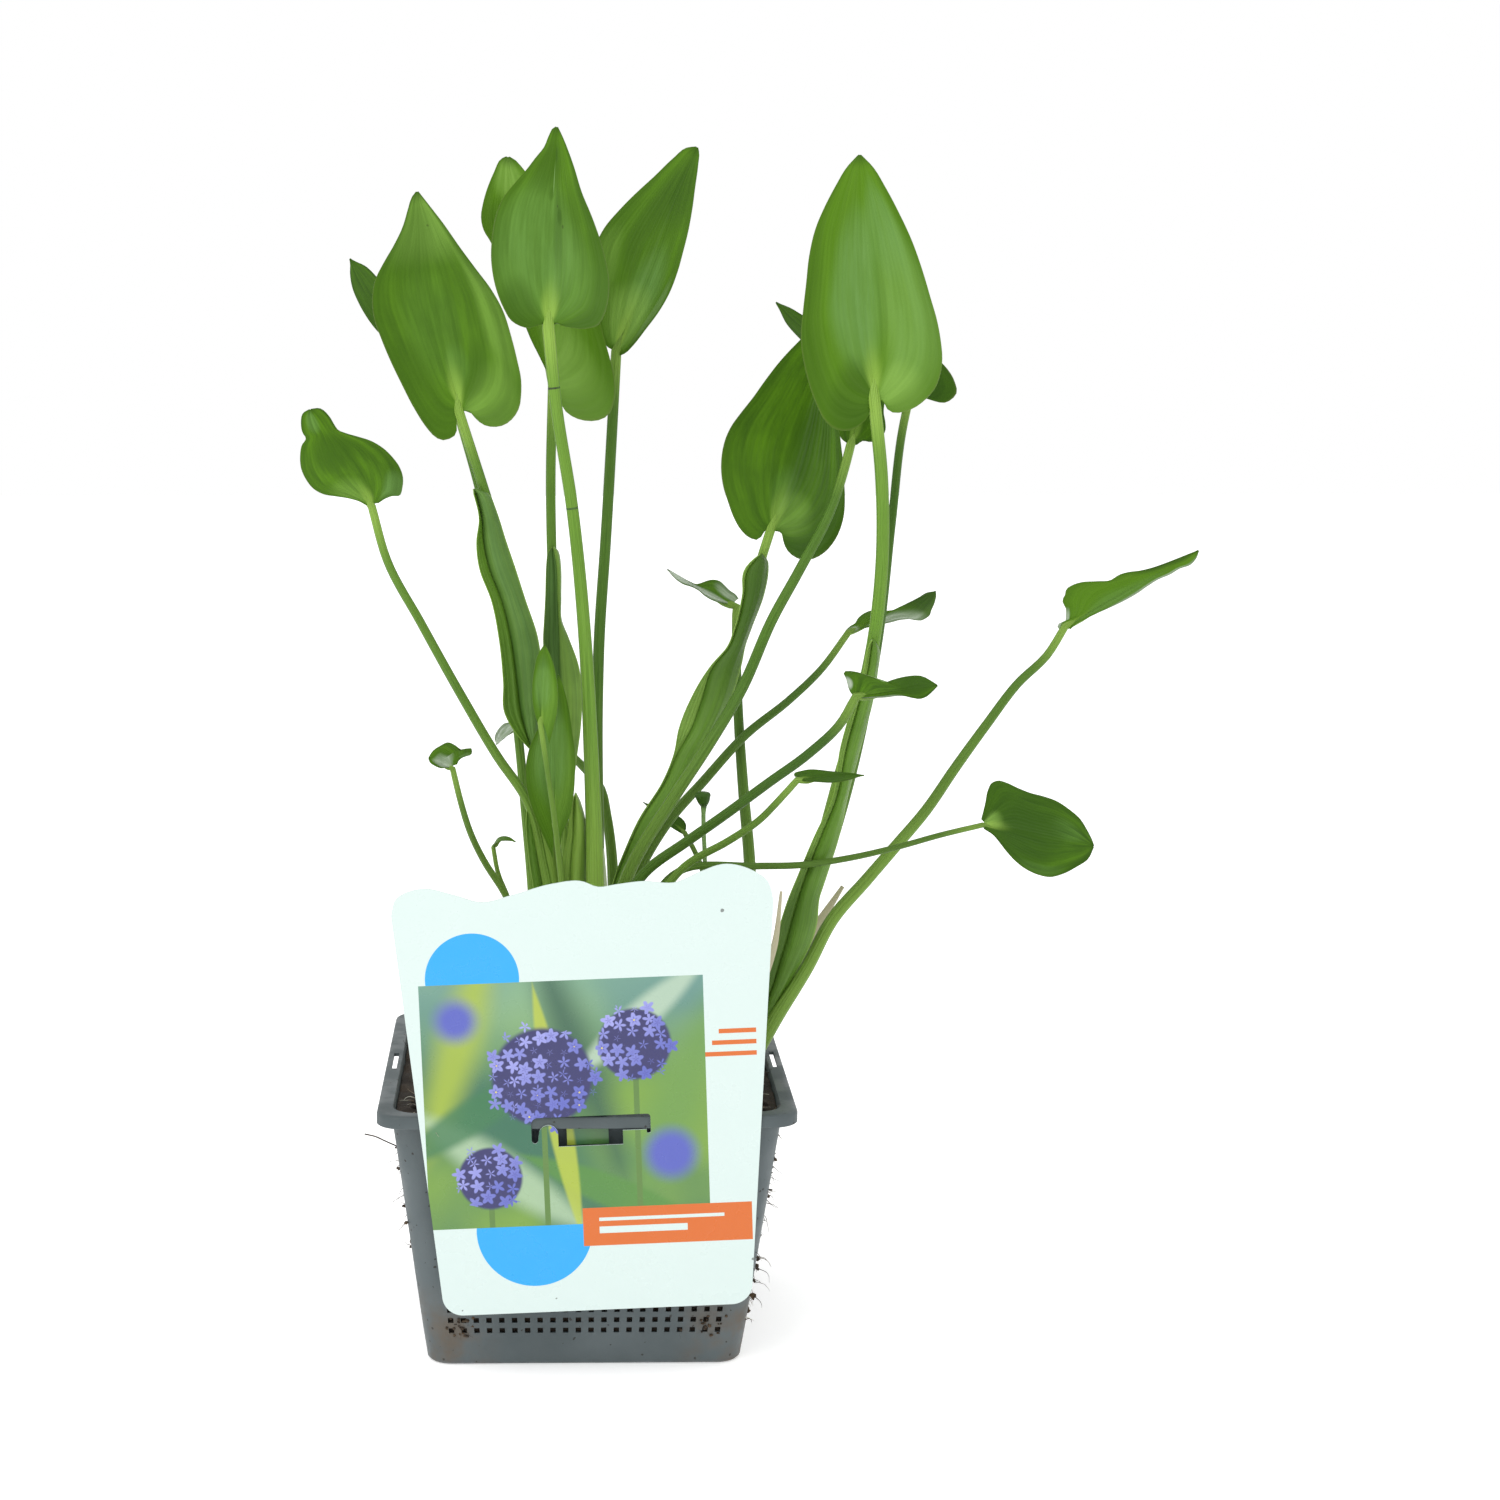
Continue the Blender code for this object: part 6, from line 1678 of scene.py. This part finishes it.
def make_card():
    """The card with its tab, standing against the front of the rim and turned a little in its plane."""
    parts = Parts()
    for points, faces, slots in (card_shape(), tab_shape()):
        uvs = [(point[0] / 100 + 1, point[2] / 100 + 1) for point in points]
        parts.join(points, faces, uvs, slots)
    piece = parts.make("card", [print_finish(), card_back_finish()], sharp=30.0)
    rim = settings().basket.rim_half / MM
    place = Matrix.Translation(Vector((CARD_CENTRE[0], -rim - GAP - CARD_THICK, CARD_CENTRE[1])) * MM)
    piece.data.transform(place @ Matrix.Rotation(radians(-CARD_TURN), 4, "Y"))
    ride(piece, "label", "label")


def box_mask(nodes, x, z, left, right, low, high):
    """1 inside a box of the card's plane."""
    inside = nodes.times(nodes.math("GREATER_THAN", x, left), nodes.math("LESS_THAN", x, right))
    level = nodes.times(nodes.math("GREATER_THAN", z, low), nodes.math("LESS_THAN", z, high))
    return nodes.times(inside, level)


def distance_from(nodes, x, z, centre):
    """Distance in the card's plane from a point."""
    dx, dz = nodes.minus(x, centre[0]), nodes.minus(z, centre[1])
    return nodes.math("SQRT", nodes.plus(nodes.times(dx, dx), nodes.times(dz, dz)))


def printed_leaf():
    """A lens-shaped leaf in the card's print, with a soft edge."""

    def build(nodes, source):
        x, z, _ = nodes.split(source["Map"])
        dx = nodes.minus(x, source["Across"])
        dz = nodes.minus(z, source["Up"])
        cosine, sine = nodes.math("COSINE", source["Turn"]), nodes.math("SINE", source["Turn"])
        along = nodes.plus(nodes.times(dx, cosine), nodes.times(dz, sine))
        beside = nodes.minus(nodes.times(dz, cosine), nodes.times(dx, sine))
        along = nodes.math("DIVIDE", along, source["Length"])
        beside = nodes.math("ABSOLUTE", nodes.math("DIVIDE", beside, source["Width"]))
        inside = nodes.minus(nodes.minus(1.0, nodes.times(along, along)), beside)
        return nodes.range(inside, 0.0, source["Softness"])

    inputs = {"Map": "Vector", "Across": "Float", "Up": "Float", "Turn": "Float", "Length": "Float",
              "Width": "Float", "Softness": "Float"}
    return effect("Printed leaf", inputs, "Mask", build)


PRINTED_LEAVES = (  # across, up, turn, half length, half width, softness and colour
    (0.45, 1.30, 1.25, 0.75, 0.16, 0.9, (150, 170, 44)), (0.95, 1.25, 1.9, 0.85, 0.17, 1.0, (24, 76, 56)),
    (1.35, 0.95, 1.2, 0.80, 0.20, 0.9, (94, 138, 58)), (0.62, 0.72, 2.5, 0.60, 0.13, 0.7, (156, 182, 148)),
    (1.22, 1.38, 0.7, 0.46, 0.09, 0.6, (166, 188, 166)), (0.50, 0.98, 0.55, 0.55, 0.10, 0.5, (42, 106, 62)),
    (1.12, 0.60, 2.7, 0.52, 0.09, 0.4, (72, 126, 44)), (0.86, 0.98, 1.72, 0.62, 0.06, 0.3, (164, 178, 54)))
FLORET_SCALE = 17.0
PRINT_SHADE, PRINT_SUN, PRINT_MIST = srgb(40, 98, 72), srgb(108, 146, 50), srgb(128, 168, 166)
STEM_GREEN, STEM_HALF, STEM_FOOT = srgb(82, 118, 48), 0.012, 0.40
HEAD_DARK, HEAD_PALE = srgb(36, 36, 92), srgb(148, 150, 212)
PETAL_THROAT, PETAL_EYE = srgb(56, 50, 130), srgb(204, 188, 94)
FLOWER_HEADS = (  # centre, half width, softness
    ((0.44, 1.40), 0.13, 0.7), ((1.34, 0.78), 0.15, 0.6), ((0.80, 1.14), 0.235, 0.0),
    ((1.20, 1.27), 0.17, 0.0), ((0.56, 0.70), 0.15, 0.0))


def flower_head(nodes, plane, colour, centre, half, soft):
    """One round printed flower head over `colour`: whole florets when sharp, a blurred ball when soft."""
    look = settings().card
    x, z, _ = nodes.split(plane)
    away = distance_from(nodes, x, z, centre)
    if soft:
        return nodes.mix(nodes.range(away, half, half * (1 - soft)), colour, look.bloom)
    stem = box_mask(nodes, x, z, centre[0] - STEM_HALF, centre[0] + STEM_HALF, STEM_FOOT, centre[1])
    colour = nodes.mix(stem, colour, STEM_GREEN)
    colour = nodes.mix(nodes.range(away, half * 0.97, half * 0.86), colour, HEAD_DARK)
    florets = nodes.add("ShaderNodeTexVoronoi", {"Vector": plane, "Scale": FLORET_SCALE, "Randomness": 0.6})
    mid_x, mid_z, _ = nodes.split(florets.outputs["Position"])
    tint, turn, _ = nodes.split(florets.outputs["Color"])
    whole = nodes.math("LESS_THAN", distance_from(nodes, mid_x, mid_z, centre), half)
    angle = nodes.math("ARCTAN2", nodes.minus(z, mid_z), nodes.minus(x, mid_x))
    lobes = nodes.math("COSINE", nodes.plus(nodes.times(angle, 5.0), nodes.times(turn, tau)))
    reach = nodes.minus(florets.outputs["Distance"], nodes.times(lobes, 0.13))
    lit = nodes.plus(nodes.minus(z, x), centre[0] - centre[1])
    lit = nodes.range(lit, -1.3 * half, 1.3 * half, 0.15, 1.0)
    lit = nodes.times(lit, nodes.range(tint, 0.0, 1.0, 0.5, 1.0))
    petal = nodes.mix(lit, look.bloom, HEAD_PALE)
    petal = nodes.mix(nodes.range(reach, 0.22, 0.02, 0.0, 0.5), petal, PETAL_THROAT)
    petal = nodes.mix(nodes.math("LESS_THAN", florets.outputs["Distance"], 0.07), petal, PETAL_EYE)
    shown = nodes.times(whole, nodes.range(reach, 0.52, 0.40))
    return nodes.mix(shown, colour, petal)


def printed_picture(nodes, z, plane):
    """A generic print of round violet flower heads among blurred leaves."""
    soft = nodes.noise(plane, 1.6, 2.0, 0.4)
    colour = nodes.mix(nodes.range(soft, 0.35, 0.65), PRINT_SHADE, PRINT_SUN)
    colour = nodes.mix(nodes.range(z, 1.05, 1.6, 0.0, 0.45), colour, PRINT_MIST)
    for across, up, turn, length, width, softness, shade in PRINTED_LEAVES:
        mask = nodes.group(printed_leaf(), {"Map": plane, "Across": across, "Up": up, "Turn": turn,
                                            "Length": length, "Width": width, "Softness": softness})
        colour = nodes.tint(colour, srgb(*shade), mask, 0.85)
    for centre, half, blur in FLOWER_HEADS:
        colour = flower_head(nodes, plane, colour, centre, half, blur)
    return colour


ARCS = (((0.52, 1.58), 0.20), ((0.74, 0.46), 0.25))  # centre and radius of each rounded shape
PANEL = (0.29, 1.50, 0.48, 1.56)  # left, right, bottom and top, as for the boxes below
BLOCK = (0.95, 1.68, 0.38, 0.55)
PALE_BARS = ((1.02, 1.56, 0.49, 0.505), (1.02, 1.40, 0.435, 0.465))
SIDE_BARS = ((1.56, 1.72, 1.30, 1.32), (1.53, 1.72, 1.25, 1.27), (1.50, 1.72, 1.20, 1.22))


def print_finish():
    """The card's printed front: a picture panel, a plain block and two rounded shapes on pale card."""

    def build(nodes):
        look, peat = settings().card, settings().peat
        plane = nodes.uv()
        x, z, _ = nodes.split(plane)
        colour = look.ground
        for centre, radius in ARCS:
            arc = nodes.math("LESS_THAN", distance_from(nodes, x, z, centre), radius)
            colour = nodes.mix(arc, colour, look.arc)
        picture = printed_picture(nodes, z, plane)
        boxes = [(PANEL, picture), (BLOCK, look.block), *((bar, look.ground) for bar in PALE_BARS),
                 *((bar, look.block) for bar in SIDE_BARS)]
        for box, shade in boxes:
            colour = nodes.mix(box_mask(nodes, x, z, *box), colour, shade)
        marks = nodes.specks(7.0, 0.09, plane)
        colour = nodes.tint(colour, peat.dark, marks, 0.7)
        scuffs = nodes.mottling(6.0, plane)
        nodes.surface(colour, roughness=nodes.range(scuffs, 0.0, 1.0, 0.26, 0.40))

    return finish("card print", build, 0.3, Coat_Weight=0.25, Coat_Roughness=0.15)


def card_back_finish():
    """The card's unprinted back and cut edges."""

    def build(nodes):
        look, peat = settings().card, settings().peat
        patches = nodes.mottling(30.0)
        colour = nodes.tint(look.ground, peat.light, patches, 0.06)
        marks = nodes.specks(90.0, 0.10)
        colour = nodes.tint(colour, peat.dark, marks, 0.5)
        nodes.surface(colour, roughness=nodes.range(patches, 0.0, 1.0, 0.36, 0.48))

    return finish("card back", build, 0.4)


# Stage


def make_camera():
    """The camera in front of the card, a little above the rim and turned down to it."""
    data = bpy.data.cameras.new("camera")
    data.lens = 64.73
    data.sensor_width = 36.0
    data.shift_x = 0.1113
    camera = bpy.data.objects.new("camera", data)
    camera.location = (-0.019, -1.207, 0.456)
    camera.rotation_euler = (radians(81.0), 0.0, radians(-0.87))
    bpy.context.scene.collection.objects.link(camera)
    bpy.context.scene.camera = camera


def make_floor():
    """A wide white floor that glows a little, so that it has no edge."""
    look = settings().stage
    half = look.floor / 2
    corners = [(-half, -half, 0), (half, -half, 0), (half, half, 0), (-half, half, 0)]
    mesh = bpy.data.meshes.new("floor")
    mesh.from_pydata(corners, [], [(0, 1, 2, 3)])
    colour = (*look.colour, 1.0)
    material = finish("floor", lambda nodes: None, 1.0, Specular_IOR_Level=0.0, Base_Color=colour,
                      Emission_Color=colour, Emission_Strength=look.glow)
    mesh.materials.append(material)
    floor = bpy.data.objects.new("floor", mesh)
    bpy.context.scene.collection.objects.link(floor)


def soft_light(name, power, size, location, target):
    """A square light turned towards `target`."""
    data = bpy.data.lights.new(name, "AREA")
    data.energy, data.size = power, size
    light = bpy.data.objects.new(name, data)
    light.location = location
    light.rotation_euler = (Vector(target) - Vector(location)).to_track_quat("-Z", "Y").to_euler()
    bpy.context.scene.collection.objects.link(light)


def make_lights():
    """An even white surround and one soft light from the left."""
    look = settings().stage
    world = bpy.data.worlds.new("world")
    bpy.context.scene.world = world
    world.use_nodes = True
    background = world.node_tree.nodes["Background"]
    background.inputs["Color"].default_value = (1.0, 1.0, 1.0, 1.0)
    background.inputs["Strength"].default_value = 1.0
    soft_light("key", look.key, size=1.2, location=(-0.9, -1.3, 1.6), target=(0.05, 0.0, 0.3))
    bpy.context.scene.view_settings.view_transform = "Standard"


# Operators


class POND_OT_leaves(bpy.types.Operator):
    """Build the leaves, each a blade on its stalk"""

    bl_idname = "pond.leaves"
    bl_label = "Leaves"

    def execute(self, context):
        for leaf in LEAVES:
            make_leaf(leaf)
        return {"FINISHED"}


class POND_OT_sheaths(bpy.types.Operator):
    """Build the channel-shaped leaf sheaths"""

    bl_idname = "pond.sheaths"
    bl_label = "Sheaths"

    def execute(self, context):
        for sheath in SHEATHS:
            make_sheath(sheath)
        return {"FINISHED"}


class POND_OT_sprigs(bpy.types.Operator):
    """Build the husks, the young shoot and the bud"""

    bl_idname = "pond.sprigs"
    bl_label = "Husks, Shoot and Bud"

    def execute(self, context):
        for sprig in SPRIGS:
            make_sprig(sprig)
        return {"FINISHED"}


class POND_OT_basket(bpy.types.Operator):
    """Build the pierced basket"""

    bl_idname = "pond.basket"
    bl_label = "Basket"

    def execute(self, context):
        make_basket()
        return {"FINISHED"}


class POND_OT_peat(bpy.types.Operator):
    """Build the peat with its crumbs, fibres and root hairs"""

    bl_idname = "pond.peat"
    bl_label = "Peat and Roots"

    def execute(self, context):
        make_peat()
        make_crumbs()
        make_fibres()
        make_roots()
        return {"FINISHED"}


class POND_OT_card(bpy.types.Operator):
    """Build the printed card with its tab"""

    bl_idname = "pond.card"
    bl_label = "Card"

    def execute(self, context):
        make_card()
        return {"FINISHED"}


class POND_OT_stage(bpy.types.Operator):
    """Set up the camera, the floor and the lights"""

    bl_idname = "pond.stage"
    bl_label = "Camera, Floor and Lights"

    def execute(self, context):
        make_camera()
        make_floor()
        make_lights()
        return {"FINISHED"}


OPERATORS = (POND_OT_stage, POND_OT_basket, POND_OT_peat, POND_OT_card, POND_OT_leaves, POND_OT_sheaths,
             POND_OT_sprigs)


class POND_PT_plant(bpy.types.Panel):
    """Sizes and colours of the plant, and the steps that build it"""

    bl_label = "Pond Plant"
    bl_idname = "POND_PT_plant"
    bl_space_type = "VIEW_3D"
    bl_region_type = "UI"
    bl_category = "Pond Plant"

    def draw(self, context):
        for operator in OPERATORS:
            self.layout.operator(operator.bl_idname)
        whole = context.scene.pond_plant
        for group in (whole.foliage, whole.basket, whole.peat, whole.card, whole.stage):
            box = self.layout.box()
            for key in group.bl_rna.properties.keys():
                if key not in ("rna_type", "name"):
                    box.prop(group, key)


CLASSES = (FoliageSettings, BasketSettings, PeatSettings, CardSettings, StageSettings, PlantSettings,
           *OPERATORS, POND_PT_plant)


def register():
    for each in CLASSES:
        bpy.utils.register_class(each)
    bpy.types.Scene.pond_plant = bpy.props.PointerProperty(type=PlantSettings)


def unregister():
    del bpy.types.Scene.pond_plant
    for each in reversed(CLASSES):
        bpy.utils.unregister_class(each)


def main():
    register()
    bpy.ops.pond.stage()
    bpy.ops.pond.basket()
    bpy.ops.pond.peat()
    bpy.ops.pond.card()
    bpy.ops.pond.leaves()
    bpy.ops.pond.sheaths()
    bpy.ops.pond.sprigs()


if __name__ == "__main__":
    main()
